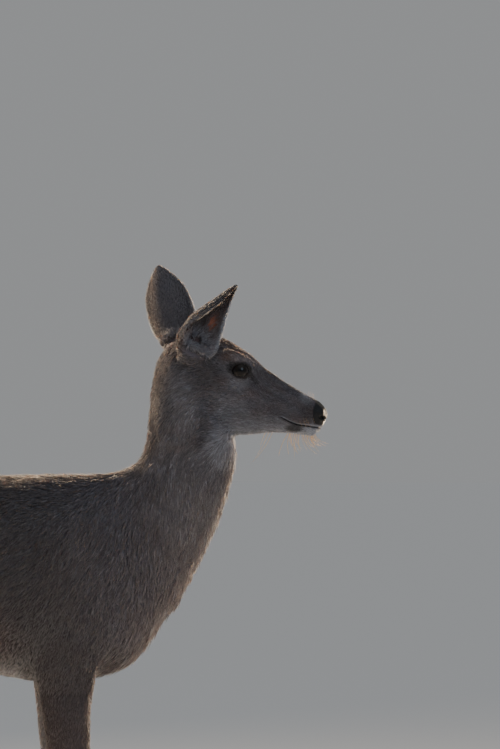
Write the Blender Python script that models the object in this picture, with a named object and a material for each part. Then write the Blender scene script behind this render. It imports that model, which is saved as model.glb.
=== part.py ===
"""A white-tailed doe, life size, standing still with its head up: +X is forward, +Y is its left side."""

from math import cos, pi, radians, sin, sqrt

import bmesh
import bpy
from mathutils import Matrix, Vector

GAP = 0.0003  # between solids that meet
FUSE_VOXEL = 0.0042  # grid that fuses the masses into one body
BODY_TRIANGLES = 4300
RING_POINTS = 36
STEPS = 4  # rings between two stations
EASE_ALL = 6  # rounds of smoothing
EASE_TRUNK = 90
SOFT_ABOVE = 0.46  # easing of the trunk starts at this height
SOFT_OVER = 0.14  # and is full this much higher
HEAD_KEPT = 0.10  # it fades out over this much of the neck
HEAD_PITCH = radians(25)  # the face slopes down this much
POLL = Vector((0.324, 0.0, 1.112))  # back of the skull, the head's own origin

# Trunk and neck: top and underside of each section (x, z), half width, and how far the widest place is
# moved down (-) or up (+) as a share.
TRUNK_AND_NECK = {
    "buttock": ((-0.636, 0.765), (-0.638, 0.705), 0.030, 0.0),
    "tail_root": ((-0.622, 0.832), (-0.628, 0.655), 0.064, 0.0),
    "croup": ((-0.572, 0.868), (-0.572, 0.625), 0.094, 0.10),
    "hip": ((-0.495, 0.892), (-0.485, 0.609), 0.107, 0.16),
    "loin": ((-0.400, 0.896), (-0.380, 0.592), 0.108, 0.08),
    "last_rib": ((-0.295, 0.890), (-0.280, 0.566), 0.121, -0.04),
    "barrel": ((-0.160, 0.882), (-0.150, 0.540), 0.129, -0.10),
    "girth": ((-0.030, 0.878), (-0.020, 0.521), 0.124, -0.04),
    "elbow": ((0.050, 0.880), (0.070, 0.507), 0.115, 0.0),
    "withers": ((0.118, 0.882), (0.158, 0.509), 0.108, -0.10),
    "shoulder": ((0.162, 0.881), (0.232, 0.533), 0.100, -0.16),
    "shoulder_point": ((0.190, 0.883), (0.272, 0.578), 0.093, -0.18),
    "neck_base": ((0.212, 0.886), (0.294, 0.613), 0.084, -0.12),
    "neck_ledge": ((0.224, 0.889), (0.318, 0.640), 0.079, -0.06),
    "collar": ((0.236, 0.894), (0.338, 0.680), 0.076, -0.02),
    "low_neck": ((0.249, 0.903), (0.364, 0.730), 0.073, 0.0),
    "mid_neck": ((0.262, 0.928), (0.391, 0.786), 0.068, 0.0),
    "upper_neck": ((0.267, 0.970), (0.412, 0.850), 0.062, 0.0),
    "throat": ((0.271, 1.025), (0.426, 0.915), 0.058, 0.0),
    "jaw_angle": ((0.279, 1.072), (0.417, 0.958), 0.055, 0.0),
    "nape": ((0.293, 1.104), (0.395, 1.010), 0.050, 0.0),
    "poll": ((0.315, 1.122), (0.392, 1.040), 0.044, 0.0),
}

# Skull: distance along the head, top and underside above its axis, half width, and the widest place.
SKULL = {
    "occiput": (0.000, 0.009, -0.088, 0.041, 0.10),
    "ear_level": (0.033, 0.037, -0.102, 0.050, 0.12),
    "crown": (0.070, 0.0450, -0.109, 0.0525, 0.16),
    "orbit_back": (0.100, 0.0425, -0.110, 0.0530, 0.22),
    "orbit_front": (0.1275, 0.0375, -0.110, 0.0495, 0.22),
    "nasion": (0.153, 0.0285, -0.1085, 0.0410, 0.14),
    "cheek": (0.180, 0.0235, -0.0950, 0.0340, 0.06),
    "bridge": (0.212, 0.0185, -0.0755, 0.0290, 0.0),
    "lip": (0.240, 0.0165, -0.0625, 0.0268, -0.05),
    "nostril": (0.264, 0.0150, -0.0545, 0.0265, 0.0),
    "nose_front": (0.283, 0.0095, -0.0455, 0.0220, 0.05),
    "nose_tip": (0.2945, -0.0015, -0.0330, 0.0125, 0.0),
}

# Swellings of the head, in its own frame: centre (along, out, up), half sizes, and toe-in in degrees.
HEAD_MASSES = {
    "brow": ((0.106, 0.0400, 0.0230), (0.034, 0.0150, 0.0110), -12),
    "eyelid": ((0.1175, 0.0385, 0.0035), (0.025, 0.0165, 0.0200), -14),
    "cheekbone": ((0.122, 0.0360, -0.0230), (0.050, 0.0150, 0.0140), -14),
    "jaw_muscle": ((0.085, 0.0300, -0.0560), (0.050, 0.0210, 0.0450), -4),
    "ear_root": ((0.024, 0.0270, 0.0060), (0.028, 0.0190, 0.0250), 0),
    "nose_wing": ((0.274, 0.0125, -0.0060), (0.016, 0.0130, 0.0150), -8),
    "lower_lip": ((0.262, 0.0060, -0.0430), (0.027, 0.0130, 0.0100), 0),
}

# Swellings of the body: centre (x, out, z), half sizes, and forward lean in degrees.
BODY_MASSES = {
    "shoulder": ((0.120, 0.058, 0.690), (0.100, 0.050, 0.150), 20),
    "upper_arm": ((0.150, 0.064, 0.620), (0.098, 0.044, 0.082), -30),
    "haunch": ((-0.500, 0.060, 0.705), (0.124, 0.058, 0.165), 12),
}

# Legs from inside the trunk to below the crown of the hoof: centre in the side plane (x, z), its distance
# from the middle, half depth, half width, and how far the section's front is raised in degrees.
FORELEG = {
    "upper_arm": ((0.150, 0.640), 0.072, 0.060, 0.026, 0),
    "arm": ((0.136, 0.585), 0.072, 0.066, 0.033, 0),
    "elbow": ((0.122, 0.530), 0.071, 0.058, 0.034, 0),
    "forearm": ((0.1215, 0.465), 0.069, 0.0455, 0.0300, 0),
    "forearm_low": ((0.1265, 0.385), 0.067, 0.0385, 0.0255, 0),
    "above_knee": ((0.130, 0.322), 0.066, 0.0265, 0.0215, 0),
    "knee": ((0.133, 0.283), 0.066, 0.0250, 0.0225, 0),
    "below_knee": ((0.129, 0.242), 0.066, 0.0190, 0.0175, 0),
    "cannon": ((0.126, 0.175), 0.065, 0.0155, 0.0145, 0),
    "above_fetlock": ((0.125, 0.110), 0.065, 0.0165, 0.0155, 0),
    "fetlock": ((0.127, 0.080), 0.065, 0.0210, 0.0200, 12),
    "pastern": ((0.139, 0.053), 0.065, 0.0185, 0.0195, 25),
    "coronet": ((0.150, 0.031), 0.065, 0.0225, 0.0225, 25),
    "inside_hoof": ((0.157, 0.012), 0.065, 0.0235, 0.0230, 25),
}
HINDLEG = {
    "rump": ((-0.520, 0.800), 0.060, 0.070, 0.036, 0),
    "thigh": ((-0.508, 0.700), 0.064, 0.112, 0.050, 4),
    "stifle": ((-0.488, 0.622), 0.070, 0.106, 0.048, 14),
    "gaskin": ((-0.506, 0.545), 0.075, 0.086, 0.039, 28),
    "low_gaskin": ((-0.546, 0.475), 0.076, 0.056, 0.030, 36),
    "above_hock": ((-0.588, 0.412), 0.076, 0.034, 0.0215, 30),
    "hock": ((-0.611, 0.360), 0.076, 0.0320, 0.0225, 12),
    "below_hock": ((-0.608, 0.306), 0.076, 0.0235, 0.0190, 0),
    "cannon": ((-0.600, 0.210), 0.075, 0.0180, 0.0160, 0),
    "above_fetlock": ((-0.592, 0.118), 0.075, 0.0178, 0.0162, 0),
    "fetlock": ((-0.588, 0.082), 0.075, 0.0215, 0.0205, 14),
    "pastern": ((-0.575, 0.054), 0.075, 0.0185, 0.0195, 25),
    "coronet": ((-0.563, 0.031), 0.075, 0.0225, 0.0225, 25),
    "inside_hoof": ((-0.556, 0.012), 0.075, 0.0235, 0.0230, 25),
}

STRIDE_CURVE = 0.7  # a leg that stands ahead swings mostly above its knee
# Each leg: its stations, its side, and how far its foot stands ahead of them.
STANCE = {
    "foreleg_right": (FORELEG, -1, 0.000),
    "foreleg_left": (FORELEG, 1, -0.036),
    "hindleg_right": (HINDLEG, -1, 0.000),
    "hindleg_left": (HINDLEG, 1, 0.095),
}

# Ears: root in the head's frame, the way the ear points and the way its cup opens at the root, both in the
# body's frame, how far the blade has turned about its own line by the tip, in degrees, and how far it bows.
EARS = {
    "ear_right": ((0.030, -0.0475, -0.008), (0.59, -0.36, 0.85), (0.15, -0.87, -0.47), 51, -0.022),
    "ear_left": ((0.003, 0.042, 0.001), (-0.25, 0.24, 0.93), (0.24, 0.95, 0.00), -7, 0.004),
}
EAR_LENGTH = 0.164
EAR_THICKNESS = 0.0075
EAR_SINK = 0.014  # how deep the root sits in the head
EAR_ARCH = 0.010  # how far the blade's back swells
EAR_POINTS = 7  # across the cup
EAR_RIM = 0.45  # rim's share of the full thickness
EAR_TIP = 1 / 6  # share of the length over which the blade thins to its tip
EAR_TURN_START = 0.15  # share of the length where the blade starts to turn
EAR_CAP = 0.8  # how far the filled root's front spreads towards its back
# Share of the ear's length, half width, how far the cup wraps round each side in degrees, and how much of
# the cup is filled.
EAR_SHAPE = [
    (0.00, 0.0195, 120, 1.0),
    (0.08, 0.0225, 118, 1.0),
    (0.16, 0.0290, 112, 0.70),
    (0.28, 0.0370, 92, 0.10),
    (0.42, 0.0410, 74, 0.0),
    (0.56, 0.0410, 60, 0.0),
    (0.70, 0.0370, 48, 0.0),
    (0.83, 0.0262, 40, 0.0),
    (0.93, 0.0150, 32, 0.0),
    (1.00, 0.0045, 26, 0.0),
]

# Tail: centre in the side plane (x, z), half thickness and half width.
TAIL = {
    "root": ((-0.610, 0.835), 0.0180, 0.022),
    "bend": ((-0.642, 0.828), 0.0200, 0.029),
    "upper": ((-0.664, 0.785), 0.0190, 0.036),
    "middle": ((-0.672, 0.715), 0.0180, 0.042),
    "lower": ((-0.674, 0.650), 0.0155, 0.037),
    "tuft": ((-0.671, 0.600), 0.0110, 0.023),
    "tip": ((-0.668, 0.570), 0.0040, 0.006),
}
TAIL_POINTS = 12

EYE_RADIUS = 0.0170
EYE_PLACE = (0.1175, 0.0430, 0.0035)  # along the head, out, above its axis

# Hooves: each foot has two claws. The crown is where a claw meets the hairy skin.
CLAW_LENGTH = 0.062
CLAW_WIDTH = 0.0225
CLAW_CLEFT = 0.0012  # from the foot's middle to each claw
CLAW_HEEL = 0.026  # the heel lies this far behind the coronet's centre
CROWN_LENGTH = 0.041
CROWN_BACK = 0.004  # the crown starts this far ahead of the heel
CROWN_HEIGHT = 0.016  # at its back
CROWN_SLOPE = radians(25)  # it rises this much to the toe
CLAW_POINTS = 12
CLAW_INSIDE = 0.24  # share of its width that lies inside its middle line
DEWCLAW_LENGTH = 0.020
DEWCLAW_RADIUS = 0.0075
DEWCLAW_POINTS = 8
DEWCLAW_OUT = 0.0105
DEWCLAW_BEHIND = 0.0175
DEWCLAW_DROP = 0.002
DEWCLAW_DOWN_PASTERN = 0.55  # share of the way from fetlock to pastern
DEWCLAW_SLANT = radians(30)
DEWCLAW_SPLAY = radians(14)

# Cuts in the side view: a point on the cut and the way the parted piece lies from it (x, z).
HEAD_CUT = ((0.355, 1.030), (0.815, 0.580))
NECK_CUT = ((0.276, 0.765), (0.940, 0.341))
FORELEG_CUT = ((0.120, 0.500), (0.0, -1.0))
HINDLEG_CUT = ((-0.392, 0.566), (-0.530, -0.848))
CUT_REACH = 0.9  # past the cut
CUT_BREADTH = 0.8

# Colour and roughness.
LOOKS = {
    "coat": ((0.115, 0.092, 0.078), 0.85),
    "eye": ((0.012, 0.009, 0.008), 0.08),
    "horn": ((0.022, 0.020, 0.019), 0.45),
}


def material(name):
    """A plain material with one of the doe's looks."""
    colour, roughness = LOOKS[name]
    made = bpy.data.materials.new(name)
    made.use_nodes = True
    shader = made.node_tree.nodes["Principled BSDF"]
    shader.inputs["Base Color"].default_value = (*colour, 1)
    shader.inputs["Roughness"].default_value = roughness
    shader.inputs["Metallic"].default_value = 0
    return made


def head_point(along, out, up):
    """A point of the head's own frame, in the body's frame."""
    x = along * cos(HEAD_PITCH) + up * sin(HEAD_PITCH)
    z = up * cos(HEAD_PITCH) - along * sin(HEAD_PITCH)
    return POLL + Vector((x, out, z))


def between(a, b, c, d, t):
    """A Catmull-Rom curve's value between b and c."""
    square = 2 * a - 5 * b + 4 * c - d
    cube = 3 * b - a - 3 * c + d
    return (2 * b + (c - a) * t + square * t**2 + cube * t**3) / 2


def smoothed(rows, steps=STEPS):
    """Rows of numbers or vectors with steps - 1 more rows, on a smooth curve, between each two."""
    ends = [rows[0], *rows, rows[-1]]
    found = []
    for i in range(len(rows) - 1):
        four = ends[i : i + 4]
        for step in range(steps):
            found.append([between(*values, step / steps) for values in zip(*four)])
    return [*found, list(rows[-1])]


def stored(name, mesh):
    """The object that holds a finished bmesh."""
    data = bpy.data.meshes.new(name)
    mesh.to_mesh(data)
    mesh.free()
    made = bpy.data.objects.new(name, data)
    bpy.context.scene.collection.objects.link(made)
    return made


def loft(name, rings):
    """A closed tube through rings of points, with a fan over each end."""
    mesh = bmesh.new()
    layers = [[mesh.verts.new(point) for point in ring] for ring in rings]
    for low, high in zip(layers, layers[1:]):
        for i in range(len(low)):
            mesh.faces.new((low[i - 1], low[i], high[i], high[i - 1]))
    for ring in (layers[0], layers[-1]):
        hub = mesh.verts.new(sum((vert.co for vert in ring), Vector()) / len(ring))
        for i in range(len(ring)):
            mesh.faces.new((ring[i - 1], ring[i], hub))
    bmesh.ops.recalc_face_normals(mesh, faces=mesh.faces)
    bmesh.ops.triangulate(mesh, faces=mesh.faces)  # bent quads get the same diagonals in every copy
    return stored(name, mesh)


def oval(centre, first, second, count=RING_POINTS, moved=0.0):
    """A ring of points, widest along the first axis where moved shifts it along the second."""
    ring = []
    for i in range(count):
        angle = 2 * pi * i / count
        widened = cos(angle) * (1 + moved * sin(angle))
        ring.append(centre + first * widened + second * sin(angle))
    return ring


def trunk_and_neck():
    """The body from rump to nape in one loft."""
    rows = []
    for top, under, width, moved in TRUNK_AND_NECK.values():
        rows.append((Vector((top[0], 0, top[1])), Vector((under[0], 0, under[1])), width, moved))
    rings = []
    for top, under, width, moved in smoothed(rows):
        rings.append(oval((top + under) / 2, Vector((0, width, 0)), (top - under) / 2, moved=moved))
    return loft("trunk_mass", rings)


def skull():
    """The head without its swellings."""
    rings = []
    for along, top, under, width, moved in smoothed(list(SKULL.values())):
        centre = head_point(along, 0, (top + under) / 2)
        half_height = head_point(along, 0, top) - centre
        rings.append(oval(centre, Vector((0, width, 0)), half_height, moved=moved))
    return loft("skull_mass", rings)


def swelling(name, centre, half_sizes, turn):
    """An ellipsoid with its axes turned by a rotation matrix."""
    mesh = bmesh.new()
    bmesh.ops.create_icosphere(mesh, subdivisions=4, radius=1)
    placed = Matrix.Translation(centre) @ turn @ Matrix.Diagonal((*half_sizes, 1))
    bmesh.ops.transform(mesh, matrix=placed, verts=mesh.verts)
    return stored(f"{name}_mass", mesh)


def swellings(side):
    """The swellings of one side of head and body."""
    made = []
    for name, ((along, out, up), half_sizes, toe_in) in HEAD_MASSES.items():
        turn = Matrix.Rotation(HEAD_PITCH, 4, "Y") @ Matrix.Rotation(side * radians(toe_in), 4, "Z")
        made.append(swelling(name, head_point(along, side * out, up), half_sizes, turn))
    for name, ((x, out, z), half_sizes, lean) in BODY_MASSES.items():
        turn = Matrix.Rotation(radians(lean), 4, "Y")
        made.append(swelling(name, Vector((x, side * out, z)), half_sizes, turn))
    return made


def leg_station(name, station):
    """Where one of a leg's stations lies once the leg has taken its stance."""
    stations, side, ahead = STANCE[name]
    (x, z), out = stations[station][:2]
    top = max(centre[1] for centre, *_ in stations.values())
    return Vector((x + ahead * (1 - z / top) ** STRIDE_CURVE, side * out, z))


def leg(name):
    """One leg from inside the trunk down into its hoof."""
    rows = []
    for station, (_, _, depth, width, lean) in STANCE[name][0].items():
        rows.append((leg_station(name, station), depth, width, radians(lean)))
    rings = []
    for centre, depth, width, lean in smoothed(rows):
        forward = Vector((cos(lean), 0, sin(lean)))
        rings.append(oval(centre, forward * depth, Vector((0, width, 0))))
    return loft(f"{name}_mass", rings)


def baked(obj):
    """Applies an object's modifiers."""
    graph = bpy.context.evaluated_depsgraph_get()
    data = bpy.data.meshes.new_from_object(obj.evaluated_get(graph))
    obj.modifiers.clear()
    obj.data = data
    return obj


def joined(name, pieces):
    """Objects joined into one mesh, without fusing them."""
    mesh = bmesh.new()
    for piece in pieces:
        mesh.from_mesh(piece.data)
        bpy.data.objects.remove(piece)
    return stored(name, mesh)


def softness(point):
    """How much a place of the body is eased: all of trunk and thighs, little of head and feet."""
    by_height = (point.z - SOFT_ABOVE) / SOFT_OVER
    by_head = (POLL - point).dot(head_point(1, 0, 0.5) - POLL) / HEAD_KEPT
    return max(0.0, min(1.0, by_height, by_head))


def whole_body():
    """All masses fused, eased and thinned to a light mesh."""
    masses = [trunk_and_neck(), skull(), *swellings(1), *swellings(-1)]
    masses += [leg(name) for name in STANCE]
    body = joined("body_mass", masses)
    fuse = body.modifiers.new("fuse", "REMESH")
    fuse.mode = "VOXEL"
    fuse.voxel_size = FUSE_VOXEL
    baked(body)
    soft = body.vertex_groups.new(name="soft")
    for vert in body.data.vertices:
        soft.add([vert.index], softness(vert.co), "REPLACE")
    for name, rounds, group in (("ease_all", EASE_ALL, ""), ("ease_trunk", EASE_TRUNK, "soft")):
        ease = body.modifiers.new(name, "SMOOTH")
        ease.factor = 0.5
        ease.iterations = rounds
        ease.vertex_group = group
    baked(body)
    thin = body.modifiers.new("thin", "DECIMATE")
    thin.ratio = BODY_TRIANGLES / (2 * len(body.data.polygons))
    return baked(body)


def ear(name):
    """A thin cupped leaf that turns about its own line, from a filled root to a narrow tip."""
    root, points, opens, turned, bowed = EARS[name]
    axis = Vector(points).normalized()
    first_opening = Vector(opens)
    first_opening = (first_opening - axis * first_opening.dot(axis)).normalized()
    start = head_point(*root) - axis * EAR_SINK - first_opening * EAR_SHAPE[0][1]
    bow = axis.cross(first_opening) * bowed - first_opening * EAR_ARCH
    rings = []
    for share, width, wrap, filled in smoothed(EAR_SHAPE, 2):
        turn = max(0, share - EAR_TURN_START) / (1 - EAR_TURN_START)
        twist = radians(turned) * (1 - (1 - turn) ** 2)
        opening = Matrix.Rotation(twist, 3, axis) @ first_opening
        across = axis.cross(opening)
        bend = radians(wrap)
        radius = width / sin(min(bend, pi / 2))
        spine = start + axis * (share * EAR_LENGTH) + bow * sin(pi * share)
        middle = spine + opening * radius
        thinned = EAR_RIM + (1 - EAR_RIM) * min(1, (1 - share) / EAR_TIP)
        back, front = [], []
        for i in range(EAR_POINTS):
            part = 2 * i / (EAR_POINTS - 1) - 1
            thickness = EAR_THICKNESS * thinned * (EAR_RIM + (1 - EAR_RIM) * sqrt(1 - part**2))
            angle = bend * part
            way = across * sin(angle) - opening * cos(angle)
            back.append(middle + way * (radius + thickness / 2))
            cup = middle + way * (radius - thickness / 2)
            far_angle = pi - EAR_CAP * (pi - bend) * part
            far_way = across * sin(far_angle) - opening * cos(far_angle)
            front.append(cup.lerp(middle + far_way * (radius - thickness / 2), filled))
        rings.append(back + front[::-1])
    return loft(name, rings)


def tail():
    """The tail, hanging down behind the rump."""
    rows = [(Vector((x, 0, z)), thick, width) for (x, z), thick, width in TAIL.values()]
    path = smoothed(rows, 2)
    rings = []
    for i, (centre, thick, width) in enumerate(path):
        run = path[min(i + 1, len(path) - 1)][0] - path[max(i - 1, 0)][0]
        normal = Vector((run.z, 0, -run.x)).normalized()
        rings.append(oval(centre, Vector((0, width, 0)), normal * thick, TAIL_POINTS))
    return loft("tail", rings)


def eye(name, side):
    """An eyeball."""
    mesh = bmesh.new()
    bmesh.ops.create_uvsphere(mesh, u_segments=14, v_segments=9, radius=EYE_RADIUS)
    along, out, up = EYE_PLACE
    bmesh.ops.translate(mesh, vec=head_point(along, side * out, up), verts=mesh.verts)
    return stored(name, mesh)


def crown_height(ahead):
    """Height of the claws' crown, this far ahead of the heel."""
    return CROWN_HEIGHT + (ahead - CROWN_BACK) * sin(CROWN_SLOPE) / cos(CROWN_SLOPE)


def claw(name, leg_name, outward):
    """One claw: a flat sole, straight on the inside, that narrows to the toe and rises to the crown."""
    coronet = leg_station(leg_name, "coronet")
    sole, crown = [], []
    for i in range(CLAW_POINTS):
        angle = 2 * pi * i / CLAW_POINTS
        along = (1 - cos(angle)) / 2
        bulge = sin(angle) * sqrt(1 - along**3)
        side_share = 1 - CLAW_INSIDE if bulge > 0 else CLAW_INSIDE
        out = CLAW_WIDTH * (CLAW_INSIDE + side_share * bulge)
        y = coronet.y + outward * (CLAW_CLEFT + out)
        x = coronet.x - CLAW_HEEL
        sole.append(Vector((x + CLAW_LENGTH * along, y, 0)))
        ahead = CROWN_BACK + CROWN_LENGTH * along
        crown.append(Vector((x + ahead, y, crown_height(ahead))))
    wall = [low.lerp(high, 0.5) for low, high in zip(sole, crown)]
    return loft(name, [sole, wall, crown])


def dewclaw(name, leg_name, outward):
    """A small blunt cone behind the fetlock."""
    mesh = bmesh.new()
    bmesh.ops.create_cone(
        mesh,
        cap_ends=True,
        segments=DEWCLAW_POINTS,
        radius1=DEWCLAW_RADIUS,
        radius2=DEWCLAW_RADIUS / 2,
        depth=DEWCLAW_LENGTH,
    )
    fetlock = leg_station(leg_name, "fetlock")
    pastern = leg_station(leg_name, "pastern")
    offset = Vector((-DEWCLAW_BEHIND, outward * DEWCLAW_OUT, -DEWCLAW_DROP))
    place = fetlock.lerp(pastern, DEWCLAW_DOWN_PASTERN) + offset
    slant = Matrix.Rotation(DEWCLAW_SLANT, 4, "Y")
    turn = slant @ Matrix.Rotation(outward * DEWCLAW_SPLAY, 4, "X")
    bmesh.ops.transform(mesh, matrix=Matrix.Translation(place) @ turn, verts=mesh.verts)
    return stored(name, mesh)


def hidden(cutter):
    """Marks an object as a cutter."""
    cutter.hide_render = True
    cutter.display_type = "WIRE"
    return cutter


def half_space(name, cut, grown_by, side=0):
    """A cutter on one side of a cut, its faces moved out by grown_by, over one side of the body or both."""
    (x, z), (way_x, way_z) = cut
    way = Vector((way_x, 0, way_z)).normalized()
    width = Vector((0, 1, 0))
    mesh = bmesh.new()
    bmesh.ops.create_cube(mesh, size=1)
    size = Matrix.Diagonal((CUT_REACH, CUT_BREADTH, CUT_BREADTH, 1))
    turn = Matrix((way, width, way.cross(width))).transposed().to_4x4()
    middle = Vector((x, 0, z)) + way * (CUT_REACH / 2 - grown_by)
    middle.y = side * (CUT_BREADTH / 2 - grown_by)
    bmesh.ops.transform(mesh, matrix=Matrix.Translation(middle) @ turn @ size, verts=mesh.verts)
    return hidden(stored(name, mesh))


def crown_cutter(leg_name):
    """A cutter below the crown of a foot's claws."""
    coronet = leg_station(leg_name, "coronet")
    heel = (coronet.x - CLAW_HEEL + CROWN_BACK, crown_height(CROWN_BACK) + GAP)
    below = (sin(CROWN_SLOPE), -cos(CROWN_SLOPE))
    return half_space(f"{leg_name}_crown", (heel, below), 0)


def room_for(obj):
    """A cutter a little larger than an object."""
    room = bpy.data.objects.new(f"{obj.name}_room", obj.data.copy())
    bpy.context.scene.collection.objects.link(room)
    swell = room.modifiers.new("swell", "DISPLACE")
    swell.strength = GAP
    swell.mid_level = 0
    return hidden(baked(room))


def cut(obj, operation, cutters):
    """Boolean steps on an object."""
    for cutter in cutters:
        step = obj.modifiers.new(cutter.name, "BOOLEAN")
        step.operation = operation
        step.object = cutter
        step.solver = "EXACT"


def parted(name, body, kept, removed):
    """The piece of the body inside the kept cutters and outside the removed ones."""
    piece = bpy.data.objects.new(name, body.data.copy())
    bpy.context.scene.collection.objects.link(piece)
    cut(piece, "INTERSECT", kept)
    cut(piece, "DIFFERENCE", removed)
    return piece


def flesh(body, ears, tail_piece, eyes, dewclaws):
    """The body parted into head, neck, trunk and legs."""
    head_inside = half_space("head_inside", HEAD_CUT, -GAP / 2)
    head_outside = half_space("head_outside", HEAD_CUT, GAP / 2)
    neck_inside = half_space("neck_inside", NECK_CUT, -GAP / 2)
    neck_outside = half_space("neck_outside", NECK_CUT, GAP / 2)
    head_rooms = [room_for(piece) for piece in (*ears, *eyes)]
    made = [
        parted("head", body, [head_inside], head_rooms),
        parted("neck", body, [neck_inside], [head_outside]),
    ]
    around_trunk = [neck_outside, room_for(tail_piece)]
    for name, (stations, side, _) in STANCE.items():
        place = FORELEG_CUT if stations is FORELEG else HINDLEG_CUT
        inside = half_space(f"{name}_inside", place, -GAP / 2, side)
        around_trunk.append(half_space(f"{name}_outside", place, GAP / 2, side))
        rooms = [room_for(piece) for piece in dewclaws[name]]
        made.append(parted(name, body, [inside], [crown_cutter(name), *rooms]))
    made.append(parted("trunk", body, [], around_trunk))
    return made


def centre_on_ground(objects):
    """Moves everything so that the origin is on the ground below the middle of the doe's bounding box."""
    graph = bpy.context.evaluated_depsgraph_get()
    corners = []
    for obj in objects:
        corners += [vert.co.copy() for vert in obj.evaluated_get(graph).data.vertices]
    low = Vector([min(corner[axis] for corner in corners) for axis in range(3)])
    high = Vector([max(corner[axis] for corner in corners) for axis in range(3)])
    middle = (low + high) / 2
    for obj in bpy.context.scene.objects:
        obj.location = (-middle.x, -middle.y, -low.z)


def main():
    for old in list(bpy.data.objects):
        bpy.data.objects.remove(old)
    coat = material("coat")
    glossy = material("eye")
    horn = material("horn")

    body = whole_body()
    ears = [ear(name) for name in EARS]
    tail_piece = tail()
    eyes = [eye("eye_left", 1), eye("eye_right", -1)]
    claws = []
    dewclaws = {}
    for name, (_, side, _) in STANCE.items():
        dewclaws[name] = []
        for place, outward in (("outer", side), ("inner", -side)):
            claws.append(claw(f"hoof_{name}_{place}", name, outward))
            dewclaws[name].append(dewclaw(f"dewclaw_{name}_{place}", name, outward))
    pieces = flesh(body, ears, tail_piece, eyes, dewclaws)
    bpy.data.objects.remove(body)

    horny = [*claws, *(piece for pair in dewclaws.values() for piece in pair)]
    for look, objects in ((coat, [*pieces, *ears, tail_piece]), (glossy, eyes), (horn, horny)):
        for obj in objects:
            obj.data.materials.clear()
            obj.data.materials.append(look)
    centre_on_ground([*pieces, *ears, tail_piece, *eyes, *horny])


main()
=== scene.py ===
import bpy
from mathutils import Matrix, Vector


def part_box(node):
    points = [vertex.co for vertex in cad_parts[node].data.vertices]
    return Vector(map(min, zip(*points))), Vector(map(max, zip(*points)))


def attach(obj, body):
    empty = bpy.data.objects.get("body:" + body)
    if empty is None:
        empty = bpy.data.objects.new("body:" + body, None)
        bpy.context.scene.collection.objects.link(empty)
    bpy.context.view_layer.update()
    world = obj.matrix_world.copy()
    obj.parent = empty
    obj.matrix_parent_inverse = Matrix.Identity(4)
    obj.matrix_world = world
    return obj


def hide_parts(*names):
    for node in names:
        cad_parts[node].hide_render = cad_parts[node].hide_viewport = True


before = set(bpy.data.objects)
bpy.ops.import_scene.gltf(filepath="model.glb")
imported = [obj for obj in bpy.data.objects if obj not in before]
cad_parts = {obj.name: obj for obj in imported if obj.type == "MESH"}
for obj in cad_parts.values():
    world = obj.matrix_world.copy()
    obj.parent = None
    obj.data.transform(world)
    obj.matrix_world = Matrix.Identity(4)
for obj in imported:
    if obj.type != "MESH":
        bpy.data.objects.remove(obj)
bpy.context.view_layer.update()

import math
import random

import bmesh
import bpy
import numpy as np
from mathutils import Matrix, Vector
from mathutils.bvhtree import BVHTree

legNames = ["foreleg_left", "foreleg_right", "hindleg_left", "hindleg_right"]
earNames = ["ear_left", "ear_right"]
fleshNames = ["head", "neck", "trunk", "tail", *legNames, *earNames]


def middleOf(node):
    low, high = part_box(node)
    return (low + high) / 2


# The head's own frame: u runs from poll to nose, v up out of the face.
headPitch = math.radians(25)
headU = np.array((math.cos(headPitch), 0.0, -math.sin(headPitch)))
headV = np.array((math.sin(headPitch), 0.0, math.cos(headPitch)))
eyePlace = (0.1175, 0.0430, 0.0035)  # along the head, out, above its line
eyeRadius = (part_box("eye_right")[1].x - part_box("eye_right")[0].x) / 2
eyeMiddle = np.array(middleOf("eye_right"))
poll = eyeMiddle * (1, 0, 1) - eyePlace[0] * headU - eyePlace[2] * headV


def inHead(points):
    away = points - poll
    return away @ headU, np.abs(points[:, 1]), away @ headV


def fromHead(u, out, v):
    return poll + u * headU + np.array((0.0, out, 0.0)) + v * headV


def between(value, low, high):
    # 0 below low, 1 above high, smooth in between
    t = np.clip((value - low) / (high - low), 0, 1)
    return t * t * (3 - 2 * t)


def linked(name, mesh):
    made = bpy.data.objects.new(name, mesh)
    bpy.context.scene.collection.objects.link(made)
    return made


def applied(piece):
    # bakes the piece's modifiers into its mesh
    graph = bpy.context.evaluated_depsgraph_get()
    mesh = bpy.data.meshes.new_from_object(piece.evaluated_get(graph))
    piece.modifiers.clear()
    old = piece.data
    piece.data = mesh
    bpy.data.meshes.remove(old)
    return piece


def meshFrom(made, name):
    # what was made in a bmesh as a mesh
    mesh = bpy.data.meshes.new(name)
    made.to_mesh(mesh)
    made.free()
    return mesh


def coordsOf(mesh):
    coords = np.empty(len(mesh.vertices) * 3, np.float32)
    mesh.vertices.foreach_get("co", coords)
    return coords.reshape(-1, 3).astype(np.float64)


def normalsOf(mesh):
    normals = np.empty(len(mesh.vertices) * 3, np.float32)
    mesh.vertex_normals.foreach_get("vector", normals)
    return normals.reshape(-1, 3).astype(np.float64)


def place(mesh, coords):
    mesh.vertices.foreach_set("co", coords.astype(np.float32).ravel())
    mesh.update()


skinLooks = {
    "voxel": 0.0020,
    "grown": 0.00035,  # closes the cuts between the nodes
    "bodyRounds": 50,  # smoothing of the body, then of everything
    "headRounds": 7,
    "triangles": 180000,
    "onEars": 0.0005,  # how deep the skin lies under the hair of the ears
    "overHoof": (0.028, 0.050),  # heights between which the coat's depth runs out
}


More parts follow.
